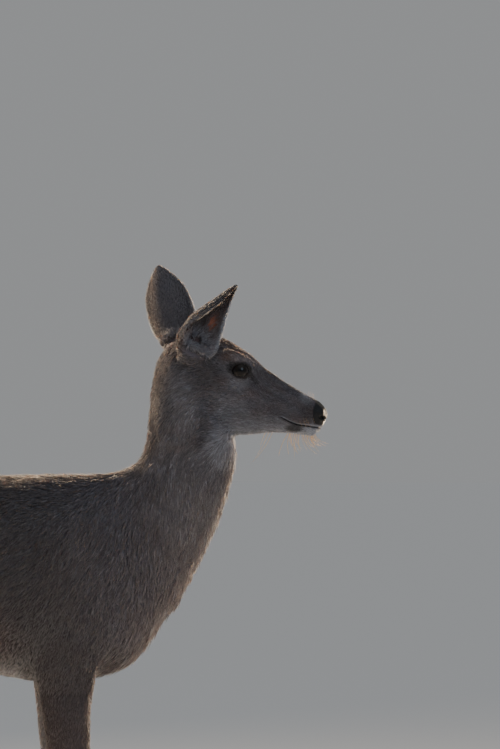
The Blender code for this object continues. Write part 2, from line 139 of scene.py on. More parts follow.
def fusedFlesh():
    # every node of flesh, grown a little so that they run into each other, fused by voxels
    grown = bmesh.new()
    for name in fleshNames:
        single = bmesh.new()
        single.from_mesh(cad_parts[name].data)
        bmesh.ops.remove_doubles(single, verts=single.verts, dist=1e-5)
        bmesh.ops.recalc_face_normals(single, faces=single.faces)
        if name in earNames:
            bmesh.ops.join_triangles(
                single, faces=single.faces, angle_face_threshold=3.1, angle_shape_threshold=3.1
            )
            bmesh.ops.subdivide_edges(single, edges=single.edges, cuts=1, use_grid_fill=True, smooth=0.8)
        single.normal_update()
        moved = [(vert, vert.normal * skinLooks["grown"]) for vert in single.verts]
        for vert, step in moved:
            vert.co += step
        bmesh.ops.triangulate(single, faces=single.faces)
        data = meshFrom(single, name + "_part")
        grown.from_mesh(data)
        bpy.data.meshes.remove(data)
    for side in (-1, 1):  # plugs in the eye sockets
        spot = Matrix.Translation(fromHead(eyePlace[0], side * eyePlace[1], eyePlace[2]))
        bmesh.ops.create_icosphere(grown, subdivisions=4, radius=eyeRadius + 0.0005, matrix=spot)
    skin = linked("skin", meshFrom(grown, "skin"))
    fuse = skin.modifiers.new("fuse", "REMESH")
    fuse.mode = "VOXEL"
    fuse.voxel_size = skinLooks["voxel"]
    return applied(skin)


def bell(distance, width):
    return np.exp(-((distance / width) ** 2))


def pathDistance(a, b, path):
    # distance in a side plane from points (a, b) to a path, and how far along it the nearest place is, 0 to 1
    best = np.full(len(a), 9.0)
    along = np.zeros(len(a))
    for i, (start, end) in enumerate(zip(path, path[1:])):
        run = (end[0] - start[0], end[1] - start[1])
        square = run[0] ** 2 + run[1] ** 2
        t = np.clip(((a - start[0]) * run[0] + (b - start[1]) * run[1]) / square, 0, 1)
        away = np.hypot(a - start[0] - t * run[0], b - start[1] - t * run[1])
        nearer = away < best
        best = np.where(nearer, away, best)
        along = np.where(nearer, (i + t) / (len(path) - 1), along)
    return best, along


# Lie of the coat. Places and directions of the head are (u, out, v) in its frame, those of the body are
# (x, out, z). Then come the hair's length and how deep the coat is, both in millimetres.
headLie = {
    "noseTop": ((0.262, 0.004, 0.016), (-1.0, 0.15, 0.25), 4.0, 0.9),
    "muzzleSide": ((0.240, 0.026, -0.018), (-1.0, 0.10, -0.10), 4.5, 1.0),
    "upperLip": ((0.245, 0.022, -0.040), (-0.85, 0.05, -0.50), 4.5, 0.9),
    "chin": ((0.235, 0.012, -0.062), (-1.0, 0.05, -0.25), 6.0, 1.2),
    "bridge": ((0.195, 0.004, 0.022), (-1.0, 0.15, 0.10), 5.5, 1.2),
    "cheekFront": ((0.180, 0.033, -0.030), (-1.0, 0.05, -0.02), 8.0, 1.6),
    "underEye": ((0.128, 0.050, -0.030), (-1.0, 0.05, -0.22), 8.0, 1.6),
    "beforeEye": ((0.150, 0.040, 0.006), (-1.0, 0.25, 0.05), 5.5, 1.1),
    "brow": ((0.115, 0.044, 0.028), (-0.90, 0.25, 0.35), 6.0, 1.1),
    "forehead": ((0.115, 0.004, 0.044), (-1.0, 0.05, 0.10), 8.0, 1.8),
    "crown": ((0.055, 0.004, 0.044), (-1.0, 0.05, 0.05), 13.0, 3.0),
    "temple": ((0.075, 0.052, 0.008), (-1.0, 0.05, 0.02), 9.0, 1.8),
    "cheekMiddle": ((0.105, 0.050, -0.060), (-0.95, 0.0, -0.45), 12.0, 2.4),
    "cheekRear": ((0.066, 0.050, -0.050), (-0.75, 0.0, -0.75), 16.0, 3.2),
    "jawAngle": ((0.052, 0.042, -0.090), (-0.40, 0.0, -0.95), 20.0, 4.2),
    "jawUnder": ((0.120, 0.012, -0.108), (-1.0, 0.1, -0.15), 15.0, 3.0),
    "jawUnderFront": ((0.190, 0.010, -0.086), (-1.0, 0.0, -0.10), 10.0, 1.8),
    "behindEar": ((0.000, 0.034, -0.020), (-0.45, 0.05, -0.90), 16.0, 4.0),
}
bodyLie = {
    "nape": ((0.330, 0.010, 1.090), (-0.45, 0.05, -0.90), 22.0, 5.5),
    "neckHigh": ((0.385, 0.058, 0.990), (-0.16, 0.0, -1.0), 24.0, 6.0),
    "throat": ((0.465, 0.012, 0.930), (-0.30, 0.0, -1.0), 26.0, 7.0),
    "neckSide": ((0.360, 0.070, 0.860), (-0.05, 0.0, -1.0), 28.0, 7.0),
    "neckFront": ((0.452, 0.012, 0.820), (-0.28, 0.0, -1.0), 28.0, 8.0),
    "neckBack": ((0.300, 0.020, 0.950), (-0.25, 0.05, -1.0), 24.0, 6.0),
    "neckLow": ((0.335, 0.072, 0.760), (-0.16, 0.0, -1.0), 28.0, 8.0),
    "neckLedge": ((0.392, 0.016, 0.710), (-0.35, 0.0, -0.95), 30.0, 9.0),
    "chest": ((0.335, 0.020, 0.620), (-0.35, 0.0, -0.93), 30.0, 9.0),
    "brisket": ((0.215, 0.030, 0.535), (-0.80, 0.0, -0.50), 28.0, 8.0),
    "withers": ((0.165, 0.020, 0.885), (-0.95, 0.12, -0.20), 22.0, 6.0),
    "neckBase": ((0.262, 0.078, 0.850), (-0.40, 0.0, -0.92), 26.0, 7.0),
    "shoulder": ((0.200, 0.100, 0.730), (-0.52, 0.0, -0.86), 24.0, 7.0),
    "upperArm": ((0.215, 0.100, 0.630), (-0.42, 0.0, -0.90), 22.0, 6.0),
    "elbow": ((0.175, 0.100, 0.540), (-0.38, 0.0, -0.92), 17.0, 4.5),
    "forearm": ((0.172, 0.070, 0.450), (-0.12, 0.0, -1.0), 11.0, 2.6),
    "knee": ((0.182, 0.066, 0.290), (0.0, 0.0, -1.0), 7.5, 1.8),
    "foreCannon": ((0.178, 0.065, 0.150), (0.0, 0.0, -1.0), 7.0, 1.6),
    "forePastern": ((0.188, 0.065, 0.050), (0.35, 0.0, -0.93), 8.0, 1.3),
    "ribsFront": ((0.060, 0.120, 0.730), (-0.80, 0.0, -0.60), 24.0, 7.0),
    "ribs": ((-0.110, 0.128, 0.700), (-0.90, 0.0, -0.42), 24.0, 7.0),
    "back": ((-0.150, 0.020, 0.885), (-1.0, 0.10, -0.05), 22.0, 6.0),
    "ribsLow": ((-0.110, 0.090, 0.565), (-0.88, 0.0, -0.45), 24.0, 7.0),
    "belly": ((-0.150, 0.010, 0.540), (-1.0, 0.0, -0.08), 26.0, 7.0),
    "flank": ((-0.320, 0.110, 0.700), (-0.80, 0.0, -0.60), 24.0, 7.0),
    "flankFold": ((-0.330, 0.080, 0.600), (-0.60, 0.0, -0.80), 22.0, 6.0),
    "loin": ((-0.350, 0.040, 0.890), (-1.0, 0.15, -0.12), 22.0, 6.0),
    "hip": ((-0.450, 0.090, 0.820), (-0.78, 0.05, -0.62), 22.0, 6.0),
    "thigh": ((-0.450, 0.110, 0.700), (-0.52, 0.0, -0.86), 22.0, 6.0),
    "rump": ((-0.565, 0.060, 0.810), (-0.50, 0.05, -0.86), 24.0, 6.5),
    "buttock": ((-0.580, 0.040, 0.700), (-0.12, 0.0, -1.0), 28.0, 7.0),
    "stifle": ((-0.370, 0.090, 0.610), (-0.45, 0.0, -0.90), 18.0, 5.0),
    "gaskin": ((-0.440, 0.085, 0.520), (-0.50, 0.0, -0.86), 13.0, 3.0),
    "aboveHock": ((-0.525, 0.078, 0.425), (-0.50, 0.0, -0.86), 9.0, 2.2),
    "hock": ((-0.560, 0.076, 0.350), (-0.05, 0.0, -1.0), 8.0, 1.9),
    "hindCannon": ((-0.535, 0.075, 0.190), (0.0, 0.0, -1.0), 7.0, 1.6),
    "hindPastern": ((-0.490, 0.075, 0.050), (0.35, 0.0, -0.93), 8.0, 1.3),
    "tailRoot": ((-0.590, 0.010, 0.838), (-0.70, 0.05, -0.70), 28.0, 5.0),
    "tailTop": ((-0.632, 0.010, 0.740), (-0.05, 0.12, -1.0), 38.0, 5.0),
    "tailEdge": ((-0.620, 0.038, 0.690), (0.02, 0.40, -0.92), 42.0, 6.0),
    "tailTip": ((-0.618, 0.006, 0.600), (0.0, 0.0, -1.0), 36.0, 3.0),
}
lieReach = 0.030  # how sharply one guide gives way to the next


def coatLie(points):
    # direction, hair length and coat depth at each point, from the guides near it
    places, ways, sizes = [], [], []
    for (u, out, v), (alongU, outward, alongV), length, depth in headLie.values():
        places.append(fromHead(u, out, v))
        ways.append(alongU * headU + np.array((0, outward, 0)) + alongV * headV)
        sizes.append((length / 1000, depth / 1000))
    for spot, way, length, depth in bodyLie.values():
        places.append(np.array(spot))
        ways.append(np.array(way))
        sizes.append((length / 1000, depth / 1000))
    places, ways, sizes = np.array(places), np.array(ways), np.array(sizes)
    ways /= np.linalg.norm(ways, axis=1)[:, None]
    side = np.where(points[:, 1] < 0, -1.0, 1.0)
    folded = points * np.stack([np.ones(len(points)), side, np.ones(len(points))], 1)
    found = np.zeros((len(points), 5))
    total = np.zeros(len(points))
    for spot, way, size in zip(places, ways, sizes):
        weight = 1 / (((folded - spot) ** 2).sum(1) + lieReach**2) ** 3
        found += weight[:, None] * np.array((*way, *size))
        total += weight
    found /= total[:, None]
    found[:, 1] *= side * np.clip(np.abs(points[:, 1]) / 0.012, 0, 1)  # no sideways jump at the middle line
    return found[:, :3], found[:, 3], found[:, 4]


# Face: paths in the side plane (x, z) with what is carved along them. A cut is its depth and width, a roll
# its height, distance and width.
faceLooks = {
    "mouth": (
        (0.5565, 0.9829), (0.5722, 0.9745), (0.5857, 0.9690),
        (0.6068, 0.9662), (0.6276, 0.9630), (0.6420, 0.9640),
    ),
    "mouthCut": (0.0026, 0.0012),
    "lipRoll": (0.0006, 0.0035, 0.0016),
    "nostril": (0.6318, 0.9815),
    "nostrilSize": (0.0062, 0.0036),
    "nostrilTurn": math.radians(-28),
    "nostrilDepth": 0.0052,
    "nostrilRoll": (0.0008, 1.45, 0.3),
    "nostrilTail": ((0.6285, 0.9800), (0.6235, 0.9835), (0.6222, 0.9890)),
    "tailCut": (0.0020, 0.0012),
    "noseGroove": (0.0010, 0.0011),
    "tear": ((0.4975, 1.0600), (0.5050, 1.0555), (0.5100, 1.0490), (0.5140, 1.0430)),
    "tearCut": (0.0022, 0.0022),
    # edges of the nose pad: the lower one, and the back one as (z, x)
    "padLip": ((0.600, 0.9760), (0.612, 0.9715), (0.624, 0.9690), (0.640, 0.9668)),
    "padBack": ((0.966, 0.6180), (0.980, 0.6135), (0.995, 0.6140), (1.010, 0.6185)),
    "lids": (0.0014, 0.42),  # how far they stand off the eyeball, and how fast they fall away
    "lidCrease": (0.0006, 0.0052, 0.0011),
}
# Radius of the eye's opening round its middle, by angle from the front corner upwards, in millimetres.
lidShape = [15.9, 15.1, 13.2, 12.1, 11.8, 12.1, 13.1, 14.4, 15.6, 14.5, 12.9, 12.0, 11.7, 11.9, 12.9, 14.8]
eyeLook = np.array((0.16, 0.97, 0.06))
eyeLook /= np.linalg.norm(eyeLook)


def eyeAxes(side):
    # middle, way out, way forward and way up of one eye
    look = eyeLook * (1, side, 1)
    fore = np.array((1.0, 0, 0)) - look * look[0]
    fore /= np.linalg.norm(fore)
    up = np.cross(fore, look) * -side
    if up[2] < 0:
        up = -up
    return fromHead(eyePlace[0], side * eyePlace[1], eyePlace[2]), look, fore, up


def lidRadius(angle):
    turns = np.mod(angle / (2 * np.pi), 1) * len(lidShape)
    low = np.floor(turns).astype(int)
    t = turns - low
    t = t * t * (3 - 2 * t)
    radii = np.array(lidShape) / 1000
    return radii[low % len(radii)] * (1 - t) + radii[(low + 1) % len(radii)] * t


def lidDistance(points, side):
    # how far a point lies outside the eye's opening, along the eyeball, its distance and way from the middle
    middle, look, fore, up = eyeAxes(side)
    away = points - middle
    reach = np.linalg.norm(away, axis=1) + 1e-9
    ahead, rise, out = away @ fore, away @ up, away @ look
    flat = np.hypot(ahead, rise) + 1e-9
    onBall = np.where(out > 0, flat / reach * eyeRadius, eyeRadius * (2 - flat / reach))
    return onBall - lidRadius(np.arctan2(rise, ahead)), reach, away / reach[:, None]


def lidGap(points, side):
    # how far a point lies outside the eye's opening, seen along the eye's own axis
    middle, _, fore, up = eyeAxes(side)
    away = points - middle
    ahead, rise = away @ fore, away @ up
    return np.hypot(ahead, rise) - lidRadius(np.arctan2(rise, ahead))


def refined(skin):
    # finer faces round muzzle and eyes
    mesh = bmesh.new()
    mesh.from_mesh(skin.data)
    middles = np.array([face.calc_center_median() for face in mesh.faces])
    u, _, v = inHead(middles)
    wanted = (u > 0.195) & (v > -0.12)
    folded = middles * np.where(middles[:, 1:2] < 0, (1, -1, 1), (1, 1, 1))
    wanted |= np.linalg.norm(folded - fromHead(*eyePlace), axis=1) < 0.034
    mesh.faces.ensure_lookup_table()
    edges = set()
    for i in np.nonzero(wanted)[0]:
        edges.update(mesh.faces[i].edges)
    bmesh.ops.subdivide_edges(mesh, edges=list(edges), cuts=1, use_grid_fill=True)
    bmesh.ops.triangulate(mesh, faces=[face for face in mesh.faces if len(face.verts) > 4])
    mesh.to_mesh(skin.data)
    mesh.free()


def eased(skin, rounds, weights):
    # smooths by a weight for each vertex
    group = skin.vertex_groups.new(name="ease")
    for level in range(1, 9):
        members = np.nonzero(np.round(weights * 8) == level)[0]
        group.add(members.tolist(), level / 8, "REPLACE")
    ease = skin.modifiers.new("ease", "SMOOTH")
    ease.factor = 0.5
    ease.iterations = rounds
    ease.vertex_group = "ease"
    applied(skin)
    skin.vertex_groups.clear()


def carveFace(skin):
    looks = faceLooks
    coords, normals = coordsOf(skin.data), normalsOf(skin.data)
    near = np.nonzero(coords[:, 0] > 0.42)[0]
    points, ways = coords[near], normals[near]
    u, out, _ = inHead(points)
    x, z = points[:, 0], points[:, 2]
    muzzle = between(u, 0.17, 0.19)
    push = np.zeros(len(near))
    # mouth, with a soft roll on each lip
    gap, along = pathDistance(x, z, looks["mouth"])
    depth, width = looks["mouthCut"]
    deep = depth * between(along, 0.0, 0.08)
    push -= muzzle * deep * bell(gap, width)
    height, at, width = looks["lipRoll"]
    push += muzzle * height * bell(gap - at, width)
    # nostrils: a hollow that curls up behind
    dx, dz = x - looks["nostril"][0], z - looks["nostril"][1]
    cosine, sine = math.cos(looks["nostrilTurn"]), math.sin(looks["nostrilTurn"])
    long, short = looks["nostrilSize"]
    oval = np.hypot((dx * cosine + dz * sine) / long, (dz * cosine - dx * sine) / short)
    sided = between(out, 0.004, 0.0075)
    push -= muzzle * sided * looks["nostrilDepth"] * (1 - between(oval, 0.45, 1.1))
    height, at, width = looks["nostrilRoll"]
    push += muzzle * sided * height * bell(oval - at, width)
    gap, along = pathDistance(x, z, looks["nostrilTail"])
    depth, width = looks["tailCut"]
    push -= muzzle * sided * depth * (1 - 0.6 * along) * bell(gap, width)
    # groove down the middle of nose and lip
    front = between(u, 0.283, 0.290) * (z < 0.992)
    depth, width = looks["noseGroove"]
    push -= front * depth * bell(out, width)
    gap, along = pathDistance(x, z, looks["tear"])
    depth, width = looks["tearCut"]
    push -= depth * (1 - 0.75 * along) * (out > 0.02) * bell(gap, width)
    points = points + ways * push[:, None]
    lift, fall = looks["lids"]
    depth, at, width = looks["lidCrease"]
    for side in (-1, 1):
        gap, reach, way = lidDistance(points, side)
        own = (points[:, 1] * side > 0.02) & (gap < 0.016)
        outside = np.maximum(reach, eyeRadius + lift - fall * np.maximum(gap, 0))
        outside -= depth * bell(gap - at, width)
        target = np.where(gap < 0, np.minimum(reach, eyeRadius - 0.0022), outside)
        points = np.where(own[:, None], points + way * (target - reach)[:, None], points)
    coords[near] = points
    place(skin.data, coords)


def insetSkin(skin):
    # draws the skin in by the coat's depth
    coords, normals = coordsOf(skin.data), normalsOf(skin.data)
    onEar = between(earShare(coords), 0.0, 0.12)
    depth = coatLie(coords)[2] * (1 - onEar) + skinLooks["onEars"] * onEar
    depth *= between(coords[:, 2], *skinLooks["overHoof"])
    depth *= 1 - noseMask(coords)
    for side in (-1, 1):
        own = coords[:, 1] * side > 0.02
        depth *= np.where(own, between(lidGap(coords, side), 0.0015, 0.010), 1)
    place(skin.data, coords - normals * depth[:, None])


def noseMask(points):
    # 1 on the bare nose pad
    x, z = points[:, 0], points[:, 2]
    lip = np.interp(x, *zip(*faceLooks["padLip"]))
    back = np.interp(z, *zip(*faceLooks["padBack"]))
    return between(z - lip, -0.0005, 0.0010) * between(x - back, -0.0005, 0.0012)


earPoints = {"ear_right": (0.59, -0.36, 0.85), "ear_left": (-0.25, 0.24, 0.93)}  # the way each ear points


def earRings(name):
    # the ear's rings from its node: place along it, middle, half width, way across and way its cup opens
    points = np.unique(np.round(coordsOf(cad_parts[name].data), 6), axis=0)
    axis = np.array(earPoints[name])
    axis /= np.linalg.norm(axis)
    along = points @ axis
    low, high = along.min(), along.max()
    share = (along - low) / (high - low)
    order = np.argsort(share)
    share, points = share[order], points[order]
    starts = np.nonzero(np.diff(share, prepend=-1) > 0.004)[0]
    rows = []
    was = np.cross(axis, (0, 0, 1.0))
    for first, last in zip(starts, [*starts[1:], len(points)]):
        ring = points[first:last]
        if len(ring) < 8:
            continue
        middle = ring.mean(0)
        across = np.linalg.svd(ring - middle)[2][0]
        across *= 1 if across @ was > 0 else -1
        was = across
        run = (ring - middle) @ across
        ends = (ring[run.argmin()] + ring[run.argmax()]) / 2
        opening = ends - middle
        opening -= axis * (opening @ axis) + across * (opening @ across)
        opening /= np.linalg.norm(opening) + 1e-9
        rows.append((share[first], *middle, (run.max() - run.min()) / 2, *across, *opening))
    return axis, low, high, np.array(rows)


earFrames = {name: earRings(name) for name in earNames}
# The back edge of the right ear draws in towards its tip: share of the ear's length, share of the width left.
earTaper = ((0.0, 1.0), (0.50, 1.0), (0.66, 0.80), (0.80, 0.56), (0.90, 0.60), (1.0, 0.85))


def inEar(points, name):
    # share of the ear's length, -1 to 1 across it, and how far out of its cup; share is -1 off the ear
    axis, low, high, rows = earFrames[name]
    share = (points @ axis - low) / (high - low)
    row = np.stack([np.interp(share, rows[:, 0], rows[:, i]) for i in range(rows.shape[1])], 1)
    away = points - row[:, 1:4]
    width = np.maximum(row[:, 4], 0.004)
    across = (away * row[:, 5:8]).sum(1) / width
    opening = row[:, 8:11] / np.linalg.norm(row[:, 8:11], axis=1)[:, None]
    out = (away * opening).sum(1)
    side = 1 if name == "ear_left" else -1
    reach = 1.06 + 0.19 * between(share, 0.28, 0.45)  # narrow at the base, where the forehead comes near
    own = (np.abs(across) < reach) & (np.abs(out) < 0.034) & (points[:, 1] * side > 0) & (share < 1.08)
    return np.where(own, share, -1.0), across, out, opening, row[:, 5:8]


def earShare(points):
    return np.maximum(inEar(points, "ear_left")[0], inEar(points, "ear_right")[0])


def taperEar(skin):
    # draws in the back edge of the right ear, and its frame with it
    rows = earFrames["ear_right"][3]
    places, widths = zip(*earTaper)
    coords = coordsOf(skin.data)
    share, across, _, _, sideways = inEar(coords, "ear_right")
    width = np.interp(share, rows[:, 0], rows[:, 4])
    drawn = (np.clip(across, -1, 1.2) + 1) * (1 - np.interp(share, places, widths)) * width * (share > 0)
    place(skin.data, coords - sideways * drawn[:, None])
    left = np.interp(rows[:, 0], places, widths)
    rows[:, 1:4] -= rows[:, 5:8] * ((1 - left) * rows[:, 4])[:, None]
    rows[:, 4] *= left


def drift(points, size, seed):
    # a smooth random field, about -1 to 1, with patches of a given size
    draws = np.random.default_rng(seed)
    total = np.zeros(len(points))
    for _ in range(7):
        way = draws.normal(size=3)
        way *= 2 * np.pi * draws.uniform(0.6, 1.5) / size / np.linalg.norm(way)
        total += np.sin(points @ way + draws.uniform(0, 2 * np.pi))
    return total / 3.2


def spot(points, centre, radii):
    # 1 in the middle of a soft oval patch, on both sides of the body, 0 outside it
    folded = points * np.where(points[:, 1:2] < 0, (1, -1, 1), (1, 1, 1))
    return 1 - between(np.linalg.norm((folded - centre) / radii, axis=1), 0.55, 1.25)


# How strong each marking is, 0 to 1.
markLooks = {
    "chin": 0.84,
    "lipEdge": 0.80,
    "lips": 0.95,
    "jaw": 0.62,
    "throat": 0.46,
    "eyeRing": 0.32,
    "eyeDark": 0.97,
    "tear": 0.95,
    # pale hair on the ears' edges, made brighter as painted rim light
    "earRim": 0.90,
    # painted shade deep in the ear's cup
    "earInside": 0.90,
    "earRust": 0.50,
    # darker hair on the ears' backs, with painted shade, more on the right ear
    "earBack": {"ear_left": 0.7, "ear_right": 0.95},
    # painted glow of light shining through the right ear
    "earGlow": 0.8,
    "belly": 0.80,
    "legInside": 0.75,
    "tailEdge": 0.90,
    "tailTop": 0.25,
    "shankRust": 0.36,
    "shankFront": 0.28,
    # legs and trunk: painted shade, darker than the neck
    "legs": 0.46,
    "trunk": 0.44,
    "ridge": 0.40,
    "nape": 0.30,
    "innerGland": 0.65,
    "outerGland": 0.6,
    "overHoof": 0.5,
}
# Soft oval patches on both sides: the marking, its middle, radii and strength. Middles on the head are in
# its own frame.
headPatches = {
    "behindNose": ("pale", (0.248, 0.012, 0.010), (0.012, 0.030, 0.016), 0.30),
    "bridge": ("dark", (0.200, 0.0, 0.024), (0.055, 0.018, 0.030), 0.38),
    # painted shade on the rear of the cheek
    "cheek": ("dark", (0.060, 0.05, -0.045), (0.018, 0.03, 0.040), 0.18),
    "crown": ("warm", (0.075, 0.0, 0.045), (0.050, 0.050, 0.026), 0.85),
    "browRust": ("warm", (0.105, 0.045, 0.026), (0.036, 0.03, 0.016), 0.85),
    "brow": ("pale", (0.112, 0.045, 0.025), (0.024, 0.03, 0.010), 0.17),
    # darker forehead hair, deepened with painted shade
    "forehead": ("dark", (0.080, 0.010, 0.045), (0.050, 0.040, 0.022), 0.30),
    "poll": ("dark", (0.040, 0.0, 0.040), (0.040, 0.026, 0.020), 0.22),
}
bodyPatches = {
    "lowerLip": ("dark", (0.583, 0.018, 0.9625), (0.0175, 0.03, 0.0080), 0.85),
    "noseBand": ("dark", (0.606, 0.012, 0.990), (0.016, 0.03, 0.022), 0.55),
    "behindJaw": ("dark", (0.432, 0.05, 1.058), (0.026, 0.05, 0.026), 0.30),
    "throatLine": ("dark", (0.424, 0.06, 0.970), (0.011, 0.06, 0.042), 0.34),
    "napeSide": ("dark", (0.340, 0.05, 1.000), (0.018, 0.06, 0.070), 0.16),
    # painted light on the upper neck
    "neckHigh": ("pale", (0.386, 0.06, 1.015), (0.026, 0.08, 0.050), 0.13),
    "underJaw": ("pale", (0.470, 0.06, 1.005), (0.030, 0.08, 0.020), 0.10),
    # painted light down the side of the neck
    "neck": ("pale", (0.400, 0.06, 0.900), (0.070, 0.08, 0.150), 0.10),
    # painted shade over the shoulder
    "shoulder": ("dark", (0.150, 0.10, 0.640), (0.10, 0.10, 0.14), 0.16),
    "elbow": ("warm", (-0.02, 0.10, 0.585), (0.13, 0.10, 0.060), 0.30),
}


def markings(points, normals):
    # how pale, dark and reddish the coat is at each point, where skin is bare, where an ear's cup is, and
    # where light shining through the ear is painted as a glow
    looks = markLooks
    x, y, z = points.T
    u, out, v = inHead(points)
    side = np.where(y < 0, -1.0, 1.0)
    inward = -normals[:, 1] * side
    onBody = 1 - between(u, 0.02, 0.05) * between(v, -0.20, -0.16)
    ragged = drift(points, 0.012, 5) * 0.35 + drift(points, 0.004, 6) * 0.2
    marks = {name: np.zeros(len(points)) for name in ("pale", "dark", "warm", "bare", "inner", "glow")}

    def soft(value, low, high):
        return between(value + ragged * abs(high - low) * 0.8, low, high)

    def add(name, share, amount=1.0):
        marks[name] = marks[name] + (1 - marks[name]) * share * amount

    # mouth and jaw
    lipGap, lipAlong = pathDistance(x, z, faceLooks["mouth"])
    lipLine = np.interp(x, *zip(*faceLooks["mouth"]))
    inMouth = between(u, 0.185, 0.20)
    nose = noseMask(points)
    chin = soft(lipLine - z, 0.001, 0.004) * between(x, 0.575, 0.590) * between(u, 0.20, 0.23)
    add("pale", chin, looks["chin"])
    upperEdge = soft(0.0052 - (z - lipLine), 0, 0.002) * (z > lipLine) * soft(x, 0.600, 0.612) * inMouth
    add("pale", upperEdge, looks["lipEdge"])
    add("dark", inMouth * (1 - between(lipGap, 0.0008, 0.0026)) * between(lipAlong, 0.0, 0.05), looks["lips"])
    jaw = between(-normals[:, 2], 0.15, 0.75) * between(u, 0.04, 0.08) * between(z, 0.925, 0.936)
    add("pale", jaw * (v < -0.03), looks["jaw"])
    throat = spot(points, np.array((0.446, 0.010, 0.936)), (0.032, 0.045, 0.040))
    add("pale", soft(throat, 0.1, 0.9), looks["throat"])
    bare = np.maximum(nose, inMouth * (1 - between(lipGap, 0.0006, 0.0016)))

    # round the eyes
    for eyeSide in (-1, 1):
        gap = lidGap(points, eyeSide)
        own = (y * eyeSide > 0.02) & (u > 0.06) & (u < 0.2)
        ring = between(gap, 0.0020, 0.0055) * (1 - soft(gap, 0.006, 0.013))
        under = spot(points, fromHead(0.128, 0.050, -0.018), (0.020, 0.030, 0.014))
        add("pale", own * np.maximum(ring * 0.45, under * 0.7), looks["eyeRing"])
        corner = np.abs((points - fromHead(eyePlace[0], eyeSide * eyePlace[1], eyePlace[2])) @ headU) / 0.018
        wider = gap - 0.0045 * between(corner, 0.5, 1.0)
        add("dark", own * (1 - between(wider, 0.0006, 0.0038)), looks["eyeDark"])
        bare = np.where(own, np.maximum(bare, 1 - between(gap, 0.0002, 0.0014)), bare)
    gap, along = pathDistance(x, z, faceLooks["tear"])
    add("dark", (1 - between(gap, 0.0026, 0.0062)) * (out > 0.02) * (1 - 0.35 * along), looks["tear"])
    marks["bare"] = bare

    # ears
    for name in earNames:
        share, across, _, opening, _ = inEar(points, name)
        on = between(share, 0.12, 0.18)
        inside = on * between((normals * opening).sum(1), -0.15, 0.25)
        # pale hair on the ears' edges, made brighter as painted rim light, set for each ear
        front, backRim = (0.78, 0.35) if name == "ear_right" else (0.90, 1.0)
        rim = between(share, 0.20, 0.30) * np.maximum(
            between(-across, front, front + 0.10), between(across, 0.95, 1.0) * backRim
        )
        marks["inner"] = np.maximum(marks["inner"], inside)
        marks["pale"] = marks["pale"] * (1 - on)
        add("pale", inside * (1 - between(share, 0.18, 0.42)), 0.10)
        add("pale", rim, looks["earRim"])
        # painted shade deep in the ear's cup
        add("dark", inside * between(share, 0.22, 0.40) * (1 - rim), looks["earInside"])
        add("warm", inside * between(share, 0.20, 0.40) * (1 - rim), looks["earRust"])
        # darker hair on the ears' backs, with painted shade towards the edges and more of it on the right ear
        back = on * (1 - inside) * (0.25 + 0.5 * between(np.abs(across), 0.45, 0.95))
        add("dark", back * (1 - rim), looks["earBack"][name])
        if name == "ear_right":
            # painted glow: a warm spot on the right ear's cup where light shines through the thin skin
            glow = looks["earGlow"] * inside * bell(share - 0.43, 0.09) * bell(across + 0.58, 0.14)
            marks["glow"] = glow
            add("warm", glow)
            marks["dark"] = marks["dark"] * (1 - glow)

    # belly, legs and tail
    belly = soft(0.575 - z, 0.0, 0.03) * between(-normals[:, 2], 0.50, 0.88) * (x > -0.42) * (x < 0.10)
    add("pale", belly * onBody, looks["belly"])
    legInside = between(inward, 0.15, 0.65) * between(z, 0.30, 0.42) * (1 - between(z, 0.60, 0.66))
    add("pale", legInside * (np.abs(y) > 0.02), looks["legInside"])
    onTail = between(-x, 0.588, 0.600) * (z < 0.86)
    under = onTail * between(normals[:, 0], 0.1, 0.5)
    fringe = onTail * soft(np.abs(y), 0.024, 0.036)
    seat = spot(points, np.array((-0.580, 0.020, 0.720)), (0.020, 0.040, 0.090))
    add("pale", np.maximum(np.maximum(under, fringe), seat), looks["tailEdge"])
    tailTop = onTail * (1 - fringe) * (1 - under)
    add("dark", tailTop, looks["tailTop"])
    add("warm", tailTop, looks["tailTop"] * 2)
    add("warm", (1 - between(z, 0.42, 0.52)) * onBody, looks["shankRust"])
    add("dark", between(normals[:, 0], 0.3, 0.9) * (z < 0.40) * (z > 0.06), looks["shankFront"])
    # painted shade: darker towards the legs than on the neck
    add("dark", (1 - between(z, 0.46, 0.62)) * onBody, looks["legs"])
    gland = spot(points, np.array((-0.535, 0.062, 0.352)), (0.022, 0.016, 0.030))
    add("dark", gland * between(inward, -0.2, 0.4), looks["innerGland"])
    gland = spot(points, np.array((-0.545, 0.090, 0.215)), (0.011, 0.016, 0.020))
    add("pale", gland * between(-inward, 0.2, 0.7), looks["outerGland"])
    add("dark", (1 - between(z, 0.030, 0.052)) * (z < 0.06), looks["overHoof"])

    # back, trunk with painted shade on it and under it, and what is uneven everywhere
    ridge = between(normals[:, 2], 0.75, 0.98) * (z > 0.84) * onBody * (x < 0.30)
    add("dark", ridge * (1 - between(np.abs(y), 0.012, 0.040)), looks["ridge"])
    nape = between(-normals[:, 0], 0.4, 0.9) * between(z, 0.90, 0.96) * onBody * (x > 0.2)
    add("dark", nape * (1 - between(np.abs(y), 0.010, 0.030)), looks["nape"])
    # painted shade: the trunk behind the shoulder darker than the neck
    add("dark", onBody * (1 - between(x, 0.08, 0.28)) * between(z, 0.35, 0.45), looks["trunk"])
    for kind, middle, radii, amount in headPatches.values():
        add(kind, spot(points, fromHead(*middle), radii), amount)
    for kind, middle, radii, amount in bodyPatches.values():
        add(kind, spot(points, np.array(middle), radii), amount)
    rusty = 0.16 + 0.14 * drift(points, 0.028, 21) + 0.08 * drift(points, 0.011, 22)
    onFace = between(u, 0.02, 0.06) * (z > 0.93)
    add("warm", np.clip(rusty, 0, 1) * (0.22 + 0.78 * onFace))
    cloudy = drift(points, 0.09, 11) * 0.06 + drift(points, 0.03, 12) * 0.04
